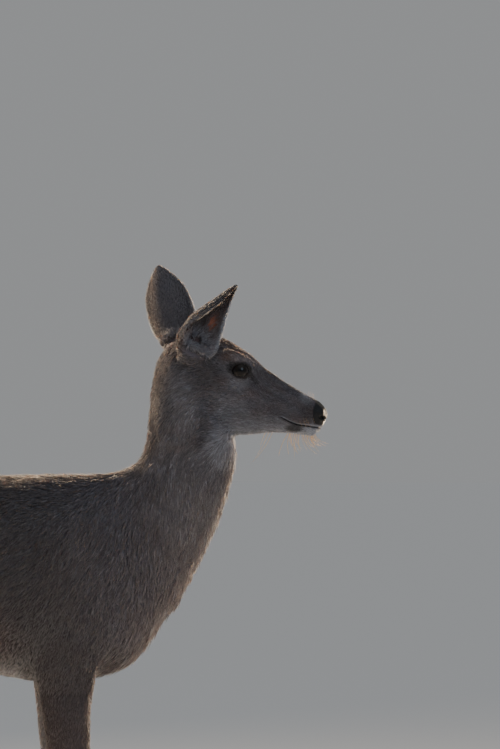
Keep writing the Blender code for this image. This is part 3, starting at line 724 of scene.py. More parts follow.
    # painted shade on the lower body, above the belly
    shadedUnderside = onBody * between(0.66 - z, 0, 0.10) * (z > 0.5)
    add("dark", np.clip(cloudy + 0.10 * shadedUnderside, 0, 1))
    return marks


def written(mesh, values):
    for name, numbers in values.items():
        layer = mesh.attributes.new(name, "FLOAT", "POINT")
        layer.data.foreach_set("value", np.asarray(numbers, np.float32))


class Wire:
    # a socket that can be added, multiplied and so on with others or with plain numbers
    def __init__(self, tree, socket):
        self.tree = tree
        self.socket = socket

    def maths(self, operation, *inputs):
        node = self.tree.nodes.new("ShaderNodeMath")
        node.operation = operation
        for slot, value in zip(node.inputs, inputs):
            if isinstance(value, Wire):
                self.tree.links.new(value.socket, slot)
            else:
                slot.default_value = value
        return Wire(self.tree, node.outputs[0])

    def __add__(self, other):
        return self.maths("ADD", self, other)

    def __sub__(self, other):
        return self.maths("SUBTRACT", self, other)

    def __rsub__(self, other):
        return self.maths("SUBTRACT", other, self)

    def __mul__(self, other):
        return self.maths("MULTIPLY", self, other)

    def __pow__(self, other):
        return self.maths("POWER", self, other)

    __radd__ = __add__
    __rmul__ = __mul__

    def clamped(self):
        held = self.maths("MAXIMUM", self, 0.0)
        return held.maths("MINIMUM", held, 1.0)


class Finish:
    # one material under construction
    def __init__(self, name):
        self.material = bpy.data.materials.new(name)
        self.material.use_nodes = True
        self.tree = self.material.node_tree
        self.shader = self.tree.nodes["Principled BSDF"]

    def node(self, kind, settings=None, output=0, **values):
        # settings first, then the sockets by name (spaces left out) or in order by inputN
        made = self.tree.nodes.new("ShaderNode" + kind)
        for name, value in (settings or {}).items():
            if name == "ramp":
                stops = made.color_ramp.elements
                while len(stops) < len(value):
                    stops.new(0.5)
                for stop, (place, colour) in zip(stops, value):
                    stop.position = place
                    stop.color = (*colour, 1)
            else:
                setattr(made, name, value)
        sockets = {socket.name.replace(" ", ""): socket for socket in reversed(made.inputs) if socket.enabled}
        for name, value in values.items():
            socket = made.inputs[int(name[5:])] if name.startswith("input") else sockets[name]
            self.join(value, socket)
        return Wire(self.tree, made.outputs[output])

    def join(self, value, socket):
        if isinstance(value, Wire):
            self.tree.links.new(value.socket, socket)
        elif isinstance(value, tuple) and socket.type == "RGBA":
            socket.default_value = (*value, 1)
        else:
            socket.default_value = value

    def set(self, **values):
        for name, value in values.items():
            for socket in self.shader.inputs:
                if socket.name.replace(" ", "") == name:
                    self.join(value, socket)
                    break

    def attribute(self, name):
        return self.node("Attribute", {"attribute_name": name}, 2)

    def place(self):
        return self.node("TexCoord", None, 3)

    def mixed(self, share, first, second):
        return self.node("Mix", {"data_type": "RGBA"}, 2, input0=share, input6=first, input7=second)

    def scaled(self, colour, amount):
        return self.node("VectorMath", {"operation": "SCALE"}, 0, input0=colour, Scale=amount)

    def noise(self, where, scale, detail=3.0, rough=0.55):
        return self.node("TexNoise", None, 0, Vector=where, Scale=scale, Detail=detail, Roughness=rough)

    def bump(self, height, strength, distance, under=None):
        values = {"Height": height, "Strength": strength, "Distance": distance}
        if under:
            values["Normal"] = under
        return self.node("Bump", None, 0, **values)


# Colours of the hair and of what is bare, then how strongly each tells.
furLooks = {
    "root": (0.062, 0.056, 0.064),
    "body": (0.086, 0.079, 0.096),
    "band": (0.155, 0.141, 0.155),
    "warm": (0.150, 0.082, 0.062),
    "pale": (0.375, 0.390, 0.440),
    "dark": (0.022, 0.019, 0.020),
    # colour of the painted glow where light shines through the ear
    "glow": (0.44, 0.13, 0.06),
    "nose": (0.006, 0.007, 0.008),
    "nosePits": (0.004, 0.004, 0.005),
    "innerEar": (0.050, 0.026, 0.023),
    "banding": 0.35,
    "rust": 0.85,
    "uneven": 0.42,
    "tipsLighter": 0.30,
}


def furColour(look, along, vary):
    # darker at the root, partly the hair's own colour and partly painted shade deep in the coat, lighter
    # towards the tip, and a light band before the tip
    pale, dark, warm = (look.attribute(name) for name in ("pale", "dark", "warm"))
    banding = (1 - ((along - 0.72) * 4.0) ** 2.0).clamped()
    hair = look.mixed((along * 2.0).clamped(), furLooks["root"], furLooks["body"])
    hair = look.mixed(banding * furLooks["banding"], hair, furLooks["band"])
    hair = look.mixed(warm * furLooks["rust"], hair, furLooks["warm"])
    hair = look.mixed(pale, hair, furLooks["pale"])
    hair = look.mixed(dark, hair, furLooks["dark"])
    return look.scaled(hair, (vary * furLooks["uneven"] + 1.0) * (along * furLooks["tipsLighter"] + 0.78))


def hairMaterial():
    look = Finish("coat_hair")
    along, vary = look.attribute("along"), look.attribute("vary")
    where = look.place()
    fine = look.noise(where, 900.0, 2.0)
    colour = look.scaled(furColour(look, along, vary), fine * 0.5 + 0.75)
    look.set(
        BaseColor=colour,
        Roughness=0.55,
        SpecularIORLevel=0.3,
        SheenWeight=0.2,
        SheenRoughness=0.35,
        SubsurfaceWeight=0.28,
        SubsurfaceScale=0.0030,
        SubsurfaceRadius=(1.0, 0.62, 0.40),
    )
    return look.material


def skinMaterial():
    look = Finish("skin_coat")
    bare, inner = look.attribute("bare"), look.attribute("inner")
    where = look.place()
    strands = look.noise(where, 700.0, 4.0, 0.7)
    broad = look.noise(where, 60.0, 2.0)
    vary = strands * 2.0 - 1.0
    # the skin between the tufts takes the darker root colour, partly painted shade under the coat
    fur = furColour(look, strands * 0.5 + 0.25, vary)
    fur = look.scaled(fur, broad * 0.25 + 0.80)
    pinkAndGlow = look.mixed(inner * 0.8, fur, furLooks["innerEar"])
    # painted glow of light shining through the right ear
    pinkAndGlow = look.mixed(look.attribute("glow"), pinkAndGlow, furLooks["glow"])
    pebbles = look.node(
        "TexVoronoi", {"feature": "DISTANCE_TO_EDGE"}, 0, Vector=where, Scale=620.0, Randomness=0.9
    )
    seams = (pebbles * 5.0).clamped()
    # painted shade in the grooves between the pebbles of the nose
    nose = look.mixed(seams, furLooks["nosePits"], furLooks["nose"])
    height = strands * (1 - bare) * 0.6 + seams * bare
    look.set(
        BaseColor=look.mixed(bare, pinkAndGlow, nose),
        Roughness=0.72 - bare * 0.32 + (strands - 0.5) * 0.1,
        CoatWeight=bare * 0.05,
        CoatRoughness=0.25,
        SpecularIORLevel=0.18,
        Normal=look.bump(height, 0.5, 0.0006),
    )
    return look.material


# For each piece of the coat: how many tufts, their width for their length and at least, how far they stray
# from the lie, how streaky they are and how much single ones differ. Neck, fore and hind are on both sides.
usualTufts = {"width": 0.070, "thin": 0.0006, "stray": 0.08, "streak": 0.55, "strands": 0.16}
coatPieces = {
    "coat_head": {"tufts": 33000, "width": 0.080, "thin": 0.0005, "streak": 0.75, "strands": 0.22},
    "coat_ears": {
        "tufts": 18000, "width": 0.075, "thin": 0.0005, "stray": 0.12, "streak": 0.30, "strands": 0.10
    },
    "coat_neck": {"tufts": 26000, "width": 0.055, "streak": 0.80, "strands": 0.28},
    "coat_fore": {"tufts": 27000},
    "coat_hind": {"tufts": 26000, "width": 0.075},
    "coat_legs": {"tufts": 32500, "thin": 0.0005, "stray": 0.07, "streak": 0.25, "strands": 0.06},
    "coat_tail": {"tufts": 7000, "width": 0.055, "stray": 0.12, "streak": 0.40, "strands": 0.10},
}
# What all tufts share. Ranges are drawn between, the rest are spreads or shares.
tuftLooks = {
    "length": (0.7, 1.2),
    "breadth": (0.8, 1.2),
    "stand": (0.75, 1.15),
    "proud": (0.05, 0.5),  # how many stand up, and by how much
    "waist": (0.42, 0.62),  # its place along the tuft, and its share of the depth
    "clumps": ((0.040, 301, 0.09), (0.012, 302, 0.06)),  # size, seed and turn of locks that lie together
    "sway": 0.12,
    "roll": 0.35,
    "thickness": 0.42,
    "sunk": 0.0008,  # roots under the skin
    "odd": 0.14,  # share of pale tufts, and of dark ones
    "vary": 0.36,
}
patchSize = 0.003  # each tuft's place on the map


def regionOf(points):
    # which coat piece each point belongs to
    x, y, z = points.T
    shift = poll[0] - 0.324
    head = (x - 0.355 - shift) * 0.815 + (z - 1.030) * 0.580 > 0
    neck = (x - 0.276 - shift) * 0.940 + (z - 0.765) * 0.341 > 0
    names = np.where(x < -0.11, "coat_hind_", "coat_fore_").astype(object)
    names = np.where(neck, "coat_neck_", names)
    names = names + np.where(y > 0, "left", "right")
    names = np.where(z < 0.50, "coat_legs", names)
    names = np.where((x < -0.596) & (z > 0.55), "coat_tail", names)
    names = np.where(head, "coat_head", names)
    return np.where(earShare(points) > 0.14, "coat_ears", names)


def regionMesh(skin, chosen):
    # the chosen faces of the skin as a mesh of their own, unwrapped
    mesh = bmesh.new()
    mesh.from_mesh(skin.data)
    mesh.faces.ensure_lookup_table()
    unwanted = [mesh.faces[i] for i in np.nonzero(~chosen)[0]]
    bmesh.ops.delete(mesh, geom=unwanted, context="FACES")
    piece = linked("region", meshFrom(mesh, "region"))
    bpy.ops.object.select_all(action="DESELECT")
    piece.select_set(True)
    bpy.context.view_layer.objects.active = piece
    bpy.ops.object.mode_set(mode="EDIT")
    bpy.ops.mesh.select_all(action="SELECT")
    bpy.ops.uv.smart_project(angle_limit=math.radians(66), island_margin=0.004)
    bpy.ops.object.mode_set(mode="OBJECT")
    return piece


def scattered(piece, count, draws):
    # roots spread over a region's faces: place, normal and place on the map
    mesh = piece.data
    mesh.calc_loop_triangles()
    corners = np.empty(len(mesh.loop_triangles) * 3, np.int32)
    mesh.loop_triangles.foreach_get("vertices", corners)
    loops = np.empty(len(corners), np.int32)
    mesh.loop_triangles.foreach_get("loops", loops)
    corners, loops = corners.reshape(-1, 3), loops.reshape(-1, 3)
    coords, normals = coordsOf(mesh), normalsOf(mesh)
    flat = np.empty(len(mesh.loops) * 2, np.float32)
    mesh.uv_layers.active.data.foreach_get("uv", flat)
    flat = flat.reshape(-1, 2).astype(float)
    sides = coords[corners]
    area = np.linalg.norm(np.cross(sides[:, 1] - sides[:, 0], sides[:, 2] - sides[:, 0]), axis=1) / 2
    middles = sides.mean(1)
    _, length, _ = coatLie(middles)
    share = area / np.clip(length, 0.004, 0.024) ** 1.35
    marks = markings(middles, normals[corners].mean(1))
    # fewer tufts on bare skin and on the painted glow of the ear, so that it shows
    share *= (1 - between(marks["bare"], 0.2, 0.7)) * (1 - 0.7 * between(marks["glow"], 0.1, 0.6))
    steps = np.cumsum(share)
    at = (np.arange(count) + draws.uniform(0, 1, count)) / count * steps[-1]
    chosen = np.searchsorted(steps, at).clip(0, len(area) - 1)
    a, b = draws.uniform(0, 1, (2, count))
    a, b = np.where(a + b > 1, 1 - a, a), np.where(a + b > 1, 1 - b, b)
    weights = np.stack([1 - a - b, a, b], 1)[:, :, None]
    found = [(layer[index[chosen]] * weights).sum(1) for layer, index in
             ((coords, corners), (normals, corners), (flat, loops))]
    found[1] /= np.linalg.norm(found[1], axis=1)[:, None]
    return found


def unit(ways):
    return ways / (np.linalg.norm(ways, axis=1)[:, None] + 1e-12)


def level(ways, normals):
    # the ways laid flat on the surface
    return unit(ways - normals * (ways * normals).sum(1)[:, None])


def surfaceAt(tree, points):
    found = [tree.find_nearest(point) for point in points.tolist()]
    return np.array([hit[0] for hit in found]), np.array([hit[1] for hit in found])


def lockMesh(name, points, flat, values):
    # a closed lock of five points (root, three round the waist, tip) from a three-sided cone with its base
    # poked. An array repeats it, and each copy gets its own points
    mesh = bmesh.new()
    bmesh.ops.create_cone(mesh, cap_ends=True, segments=3, radius1=1, radius2=0, depth=1)
    bmesh.ops.remove_doubles(mesh, verts=mesh.verts, dist=1e-4)
    mesh.normal_update()
    bmesh.ops.poke(mesh, faces=[face for face in mesh.faces if face.normal.z < -0.9])
    # root first, then round the waist, tip last
    mesh.verts.sort(key=lambda vert: vert.co.z * 40 + vert.co.xy.length * 10 + math.atan2(*vert.co.yx))
    locks = linked(name, meshFrom(mesh, name))
    copies = locks.modifiers.new("copies", "ARRAY")
    copies.use_relative_offset = False
    copies.count = len(points)
    mesh = applied(locks).data
    mesh.name = name
    place(mesh, points)
    corners = np.empty(len(mesh.loops), np.int32)
    mesh.loops.foreach_get("vertex_index", corners)
    spots = np.array([(0, -0.5), (-0.5, -0.1), (0, 0.0), (0.5, -0.1), (0, 0.5)]) * patchSize
    places = (np.clip(flat, 0.002, 0.998)[:, None] + spots).reshape(-1, 2)
    uv = mesh.uv_layers.new(name="OFBake")
    uv.data.foreach_set("uv", places[corners].astype(np.float32).ravel())
    written(mesh, {key: np.repeat(numbers, 5) for key, numbers in values.items()})
    waist = tuftLooks["waist"][0]
    written(mesh, {"along": np.tile((0.0, waist, waist, waist, 1.0), len(points))})
    mesh.shade_smooth()
    return locks


def coatPiece(name, skin, tree, regions, hair, seed):
    looks = {**usualTufts, **tuftLooks, **coatPieces[name.removesuffix("_left").removesuffix("_right")]}
    draws = np.random.default_rng(seed)
    piece = regionMesh(skin, regions == name)
    count = looks["tufts"] // 1
    roots, normals, flat = scattered(piece, count, draws)
    bpy.data.meshes.remove(piece.data)
    ways, length, depth = coatLie(roots)
    values = markings(roots, normals)
    if name == "coat_ears":
        ways, length, depth = earLie(roots, normals, ways, length, depth, values, draws)
    # which way each root points, with locks that lie together
    length = length * draws.uniform(*looks["length"], count)
    depth = depth * (1 - 0.45 * (1 - between(roots[:, 2], 0.10, 0.48)))  # closer on the legs
    ways[:, 1] *= between(np.abs(roots[:, 1]), 0.0, 0.030)  # straight on the middle line
    ways = level(ways, normals)
    across = np.cross(normals, ways)
    (size, first, amount), (fineSize, second, fineAmount) = looks["clumps"]
    turn = drift(roots, size, first) * amount + drift(roots, fineSize, second) * fineAmount
    turn = turn + draws.normal(0, looks["stray"], count)
    ways = ways * np.cos(turn)[:, None] + across * np.sin(turn)[:, None]
    # waist and tip, held at the coat's depth over the skin
    often, much = looks["proud"]
    stand = draws.uniform(*looks["stand"], count) + (draws.uniform(0, 1, count) < often) * much
    waist, share = looks["waist"]
    low, lowNormal = surfaceAt(tree, roots + ways * (length * waist)[:, None])
    middles = low + lowNormal * (depth * share * stand)[:, None]
    onward = level(ways + across * draws.normal(0, looks["sway"], count)[:, None], lowNormal)
    high, highNormal = surfaceAt(tree, low + onward * (length * (1 - waist))[:, None])
    tips = high + highNormal * (depth * stand)[:, None]
    width = looks["thin"] + looks["width"] * length * draws.uniform(*looks["breadth"], count)
    rolled = draws.normal(0, looks["roll"], count)
    across = np.cross(lowNormal, onward)
    half = across * np.cos(rolled)[:, None] + lowNormal * np.sin(rolled)[:, None]
    ridge = lowNormal * np.cos(rolled)[:, None] - across * np.sin(rolled)[:, None]
    half = half * (width / 2)[:, None]
    lift = ridge * (width * looks["thickness"])[:, None]
    roots = roots - normals * looks["sunk"]
    # colour of each tuft
    odd = draws.uniform(0, 1, count)
    values["pale"] = np.clip(values["pale"] + looks["strands"] * (odd < looks["odd"]), 0, 1)
    values["dark"] = np.clip(values["dark"] + looks["strands"] * 1.2 * (odd > 1 - looks["odd"]), 0, 1)
    about = roots - roots.mean(0)
    streak = about - ways * ((about * ways).sum(1) * 0.85)[:, None]
    vary = draws.normal(0, looks["vary"], count) + drift(streak, 0.010, seed + 2) * looks["streak"]
    values["vary"] = np.clip(vary, -1, 1)
    # round the waist anticlockwise as seen from the tip, so that the faces point outwards
    points = np.stack([roots, middles + half, middles + lift, middles - half, tips], 1)
    made = lockMesh(name, points, flat, {key: values[key] for key in ("pale", "dark", "warm", "vary")})
    made.data.materials.append(hair)
    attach(made, "root")
    print(name, len(made.data.polygons), "faces")


# Hair of the ears, in millimetres: length and depth on the back, in the cup and its base, and on the rim.
earHair = {"back": (7.5, 0.9), "cup": (6.0, 1.5), "base": (10.0, 4.0), "rim": (7.5, 2.8), "swirl": 0.55}


def earLie(roots, normals, ways, length, depth, values, draws):
    # short flat hair on the back, longer pale hair in the cup, and a fringe on the rim
    hairs = {name: np.array(size) / 1000 for name, size in earHair.items()}
    for name in earNames:
        share, across, _, opening, sideways = inEar(roots, name)
        on = share > 0
        axis = earFrames[name][0]
        inside = (normals * opening).sum(1) > 0.1
        rim = np.maximum(between(-across, 0.82, 0.94), between(across, 0.92, 0.99))
        back = axis + sideways * across[:, None] * 0.15
        cup = axis * 0.8 - sideways * across[:, None] * 0.35 + opening * 0.5
        splay = 0.7 * between(share, 0.14, 0.34) * np.sign(across)
        edge = axis * 0.75 + sideways * splay[:, None] + opening * 0.3
        way = np.where(inside[:, None], cup, back)
        way = way * (1 - rim)[:, None] + edge * rim[:, None]
        ways = np.where(on[:, None], way, ways)
        low = 1 - between(share, 0.15, 0.55)
        sizes = [np.where(inside, hairs["cup"][i] + hairs["base"][i] * low, hairs["back"][i]) * (1 - rim)
                 + hairs["rim"][i] * rim for i in (0, 1)]
        length = np.where(on, sizes[0], length)
        depth = np.where(on, sizes[1], depth)
        tufty = on & inside & (draws.uniform(0, 1, len(roots)) < 0.06 + 0.5 * low)
        values["pale"] = np.where(tufty, np.maximum(values["pale"], 0.05 + 0.20 * low), values["pale"])
        values["dark"] = np.where(tufty, values["dark"] * 0.5, values["dark"])
        turn = draws.normal(0, earHair["swirl"], len(roots)) * (on & inside) * low
        ways = ways * np.cos(turn)[:, None] + np.cross(normals, ways) * np.sin(turn)[:, None]
    return ways, length, depth


def hairsPiece(name, hairs, material):
    # closed three-sided tapering hairs, each extruded along its path from a triangle at the root
    mesh = bmesh.new()
    share = mesh.verts.layers.float.new("along")
    for path, radius in hairs:
        rings = len(path) - 1
        ring = bmesh.ops.create_circle(mesh, cap_ends=True, segments=3, radius=radius)["verts"]
        for i, point in enumerate(path):
            if i:
                edges = [mesh.edges.get((ring[k - 1], ring[k])) for k in range(3)]
                grown = bmesh.ops.extrude_edge_only(mesh, edges=edges)["geom"]
                fresh = [vert for vert in grown if isinstance(vert, bmesh.types.BMVert)]
                ring = [next(vert for vert in fresh if mesh.edges.get((vert, old))) for old in ring]
            run = (path[min(i + 1, rings)] - path[max(i - 1, 0)]).normalized()
            sideways = run.orthogonal().normalized()
            other = run.cross(sideways)
            for k, vert in enumerate(ring):
                angle = 2 * math.pi * k / 3
                reach = radius * (1 - i / rings * 0.75)
                vert.co = point + (sideways * math.cos(angle) + other * math.sin(angle)) * reach
                vert[share] = i / rings
        bmesh.ops.pointmerge(mesh, verts=ring, merge_co=path[-1])
    bmesh.ops.recalc_face_normals(mesh, faces=mesh.faces)
    data = meshFrom(mesh, name)
    data.shade_smooth()
    data.materials.append(material)
    made = linked(name, data)
    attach(made, "root")
    print(name, len(hairs), "hairs")


def curved(start, way, bend, length, steps=6):
    # a hair's path that turns steadily towards bend
    points = [Vector(start)]
    way, bend = Vector(way).normalized(), Vector(bend)
    for i in range(steps):
        way = (way + bend / steps).normalized()
        points.append(points[-1] + way * length / steps)
    return points


whiskerLooks = {
    "colours": ((0.655, 0.394, 0.1755), (0.90, 0.52, 0.20)),  # root and tip: pale hairs coloured golden orange as painted backlight glow
    "chin": 27,
    "chinPlace": (0.568, 0.060),  # x of the rearmost, and how far forward they go on
    "chinLength": (0.026, 0.056),
    "chinRadius": 0.00050,
    "long": (0.072, 0.056, 0.030),  # the few behind the chin
    "longRadius": 0.0004,
    # the short ones: how many, radius and length
    "lip": (14, 0.00014, (0.012, 0.024)),
    "cheek": (3, 0.0001, 0.015),  # on each side
    "brow": (3, 0.00016, 0.013),  # as many as on the cheek
    "nose": (4, 0.0002, 0.010),
}


def whiskers(tree):
    looks = whiskerLooks
    draws = random.Random(12)
    hairs = []

    def rooted(*point):
        return tree.find_nearest(Vector(point))[0]

    for i in range(looks["chin"]):
        share = (i + draws.uniform(0, 1)) / looks["chin"]
        first, reach = looks["chinPlace"]
        near = rooted(first + reach * share, draws.uniform(-0.014, 0.014), 0.940)
        length = draws.uniform(*looks["chinLength"]) * (1.05 - 0.45 * share)
        lean = -0.60 + 0.75 * share + draws.uniform(-0.25, 0.25)
        bend = (draws.uniform(0.5, 2.0), draws.uniform(-0.4, 0.4), draws.uniform(0.0, 0.7) * share)
        radius = looks["chinRadius"] * draws.uniform(0.7, 1.1)
        hairs.append((curved(near, (lean, near.y * 14, -1.0), bend, length, 8), radius))
    for i, length in enumerate(looks["long"]):
        near = rooted(0.541 - 0.006 * i, 0.008 * (i - 1), 0.94)
        path = curved(near, (-0.30 - 0.08 * i, 0.05 * i, -1.0), (-0.55 + 0.4 * i, 0, 0.15), length)
        hairs.append((path, looks["longRadius"]))
    count, radius, lengths = looks["lip"]
    for i in range(count):
        side = -1 if i % 2 else 1
        start = rooted(draws.uniform(0.585, 0.625), side * 0.05, draws.uniform(0.971, 0.982))
        length = draws.uniform(*lengths)
        hairs.append((curved(start, (0.1, side * 0.8, -0.7), (0.4, -side * 0.4, -0.6), length), radius))
    count, cheekRadius, cheekLength = looks["cheek"]
    _, browRadius, browLength = looks["brow"]
    for side in (-1, 1):
        for i in range(count):
            along = draws.uniform(0, 0.030)
            start = rooted(*fromHead(0.122 + along, side * 0.055, -0.024 - along * 0.3))
            way = (-0.4, side * 0.8, draws.uniform(-0.5, 0))
            hairs.append((curved(start, way, (-0.5, 0, -0.3), cheekLength), cheekRadius))
            along = draws.uniform(0, 0.024)
            start = rooted(*fromHead(0.112 + along, side * 0.05, 0.034))
            way = (draws.uniform(-0.3, 0.2), side * 0.7, 0.7)
            hairs.append((curved(start, way, (-0.8, 0, 0), browLength), browRadius))
    count, radius, length = looks["nose"]
    for i in range(count):
        start = rooted(0.605 + 0.004 * i, 0.004 * (i - 1.5), 1.02)
        hairs.append((curved(start, (0.15, 0.1 * (i - 1.5), 1.0), (0.2, 0, 0), length), radius))
    look = Finish("whisker_hair")
    colour = look.mixed(look.attribute("along"), *looks["colours"])
    look.set(BaseColor=colour, Roughness=0.45, SheenWeight=0.2)
    hairsPiece("whiskers", hairs, look.material)


eyeLooks = {
    "iris": 0.0098,
    "pupil": (0.0068, 0.0032),
    "bulge": 0.0007,
    "irisColours": ((0.004, 0.0028, 0.0024), (0.009, 0.0058, 0.0045)),
    "irisEdge": (0.006, 0.004, 0.003),
    "whites": ((0.006, 0.005, 0.005), (0.014, 0.010, 0.009)),
    "pupilColour": (0.0015, 0.0018, 0.0025),
    "rim": 0.0008,  # radius of the moist rim of the lids
    "rimColours": ((0.005, 0.004, 0.004), (0.016, 0.012, 0.012)),
    "lashes": (46, 18),  # above and below
    "lashRadius": 0.00016,
    "lashColours": ((0.006, 0.005, 0.005), (0.020, 0.016, 0.014)),
}


def eye(name, side):
    middle, look, fore, up = eyeAxes(side)
    mesh = bmesh.new()
    bmesh.ops.create_uvsphere(mesh, u_segments=72, v_segments=48, radius=eyeRadius)
    turn = Matrix((fore, up, look)).transposed().to_4x4()
    bmesh.ops.transform(mesh, matrix=turn, verts=mesh.verts)
    for vert in mesh.verts:
        facing = vert.co.normalized().dot(Vector(look))
        vert.co += Vector(look) * eyeLooks["bulge"] * max(0, facing - 0.55) / 0.45
    bmesh.ops.translate(mesh, verts=mesh.verts, vec=Vector(middle))
    bmesh.ops.recalc_face_normals(mesh, faces=mesh.faces)
    data = meshFrom(mesh, name + "_ball")
    away = coordsOf(data) - middle
    ahead, rise, out = away @ fore, away @ up, away @ np.array(look)
    ring = np.where(out > 0, np.hypot(ahead, rise), 0.03)
    slit = np.where(out > 0, np.hypot(ahead / eyeLooks["pupil"][0], rise / eyeLooks["pupil"][1]), 9)
    written(data, {"iris": 1 - between(ring, eyeLooks["iris"] - 0.0008, eyeLooks["iris"] + 0.0012),
                   "pupil": 1 - between(slit, 0.85, 1.15),
                   "ringward": ring / eyeLooks["iris"]})
    data.shade_smooth()
    ball = linked(name + "_ball", data)
    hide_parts(name)
    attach(ball, "root")
    return ball


def eyeMaterial():
    look = Finish("eye_wet")
    where = look.place()
    iris, pupil, ringward = (look.attribute(name) for name in ("iris", "pupil", "ringward"))
    fibres = look.noise(where, 900.0, 3.0)
    brown = look.mixed((fibres * 1.2 - 0.1).clamped(), *eyeLooks["irisColours"])
    brown = look.mixed((ringward * 0.7).clamped(), brown, eyeLooks["irisEdge"])
    white = look.mixed(look.noise(where, 250.0), *eyeLooks["whites"])
    colour = look.mixed(iris, white, brown)
    colour = look.mixed(pupil, colour, eyeLooks["pupilColour"])
    look.set(BaseColor=colour, Roughness=0.07, IOR=1.34, SpecularIORLevel=0.42)
    return look.material


def lidPoint(side, angle, beyond, lift):
    # a place on the edge of the lids, or a little beyond it and off the eyeball, and its way from the middle
    middle, look, fore, up = eyeAxes(side)
    sine = min((float(lidRadius(np.array([angle]))[0]) + beyond) / eyeRadius, 0.995)
    outward = fore * math.cos(angle) + up * math.sin(angle)
    return middle + (look * math.sqrt(1 - sine**2) + outward * sine) * (eyeRadius + lift), outward


def lidRim(side):
    # moist rim round the eye, a little thicker above
    curve = bpy.data.curves.new("lid", "CURVE")
    curve.dimensions = "3D"
    curve.bevel_depth = eyeLooks["rim"]
    curve.bevel_resolution = 3
    line = curve.splines.new("POLY")
    count = 120
    line.points.add(count - 1)
    for i in range(count):
        angle = 2 * math.pi * i / count
        line.points[i].co = (*lidPoint(side, angle, 0, 0.0005)[0], 1)
        line.points[i].radius = 1.25 if math.sin(angle) > 0 else 0.9
    line.use_cyclic_u = True
    held = linked("lidCurve", curve)
    graph = bpy.context.evaluated_depsgraph_get()
    mesh = bpy.data.meshes.new_from_object(held.evaluated_get(graph))
    bpy.data.objects.remove(held)
    return mesh


def eyeSurrounds():
    joined = bmesh.new()
    lashes = []
    draws = random.Random(31)
    above, below = eyeLooks["lashes"]
    for side in (-1, 1):
        mesh = lidRim(side)
        joined.from_mesh(mesh)
        bpy.data.meshes.remove(mesh)
        _, look, fore, up = eyeAxes(side)
        for i in range(above + below):
            upper = i < above
            angle = math.radians(draws.uniform(12, 165) if upper else draws.uniform(200, 335))
            start, outward = lidPoint(side, angle, 0.0006, 0.0010)
            length = draws.uniform(0.006, 0.010) if upper else draws.uniform(0.003, 0.005)
            way = look * 0.9 + outward * (0.1 if upper else 0.5) + fore * draws.uniform(-0.2, 0.2)
            bend = up * (1.1 if upper else -0.4) + fore * 0.1
            lashes.append((curved(start, way, bend, length, 4), eyeLooks["lashRadius"]))
    bmesh.ops.remove_doubles(joined, verts=joined.verts, dist=1e-6)
    bmesh.ops.recalc_face_normals(joined, faces=joined.faces)
    data = meshFrom(joined, "eyelids")
    data.shade_smooth()
    rim = linked("eyelids", data)
    look = Finish("lid_skin")
    grain = look.noise(look.place(), 1400.0, 3.0)
    look.set(
        BaseColor=look.mixed(grain, *eyeLooks["rimColours"]),
        Roughness=grain * 0.3 + 0.42,
        SpecularIORLevel=0.35,
        Normal=look.bump(grain, 0.4, 0.0003),
    )
    rim.data.materials.append(look.material)
    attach(rim, "root")
    look = Finish("lash_hair")
    look.set(BaseColor=look.mixed(look.attribute("along"), *eyeLooks["lashColours"]), Roughness=0.4)
    hairsPiece("eyelashes", lashes, look.material)


hornLooks = {
    "sole": 1.0,  # how sharp the edge on the ground stays
    "crown": 0.75,  # and the edge under the hair
    "ringColours": ((0.014, 0.012, 0.011), (0.034, 0.029, 0.026)),
    "worn": (0.060, 0.050, 0.042),
}


def hornMaterial():
    look = Finish("horn_claw")
    where = look.place()
    rings = look.node("TexWave", {"bands_direction": "Z"}, 1, Vector=where, Scale=90.0, Distortion=2.5,
                      Detail=2.0, DetailScale=1.5)
    grain = look.noise(where, 420.0, 4.0)
    worn = look.noise(where, 70.0, 2.0)
    colour = look.mixed(rings, *hornLooks["ringColours"])
    colour = look.mixed((worn - 0.35) * 0.8, colour, hornLooks["worn"])
    look.set(
        BaseColor=colour,
        Roughness=grain * 0.3 + 0.28,
        CoatWeight=0.15,
        CoatRoughness=0.3,
        Normal=look.bump(rings * 0.6 + grain * 0.4, 0.35, 0.0006),
    )
    return look.material


def claws(horn):
    # smoother copies of the claws and dewclaws
    made = []
    for name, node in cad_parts.items():
        if not name.startswith(("hoof_", "dewclaw_")):
            continue
        mesh = bmesh.new()
        mesh.from_mesh(node.data)
        bmesh.ops.remove_doubles(mesh, verts=mesh.verts, dist=1e-5)
        bmesh.ops.dissolve_limit(mesh, angle_limit=math.radians(1), verts=mesh.verts, edges=mesh.edges)
        bmesh.ops.join_triangles(mesh, faces=mesh.faces, angle_face_threshold=math.radians(40),
                                 angle_shape_threshold=math.radians(60))
        bmesh.ops.recalc_face_normals(mesh, faces=mesh.faces)
        mesh.normal_update()
        if name.startswith("hoof_"):
            crease = mesh.edges.layers.float.new("crease_edge")
            for edge in mesh.edges:
                if max(vert.co.z for vert in edge.verts) < 0.0005:
                    edge[crease] = hornLooks["sole"]
                elif edge.calc_face_angle(0) > math.radians(50):
                    edge[crease] = hornLooks["crown"]
        piece = linked(name + "_horn", meshFrom(mesh, name + "_horn"))
        fine = piece.modifiers.new("fine", "SUBSURF")
        fine.levels = fine.render_levels = 2
        applied(piece)
        piece.data.shade_smooth()
        piece.data.materials.clear()
        piece.data.materials.append(horn)
        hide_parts(name)
        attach(piece, "root")
        made.append(piece)
    return made


def footTree(skin, pieces):
    # the skin of the legs together with the claws, for the hair that hangs over them
    coords, faces = [], []
    for piece in [skin, *pieces]:
        first = len(coords)
        points = coordsOf(piece.data)
        coords += points.tolist()
        for polygon in piece.data.polygons:
            if points[polygon.vertices[0]][2] < 0.62:
                faces.append([first + i for i in polygon.vertices])
    return BVHTree.FromPolygons(coords, faces)


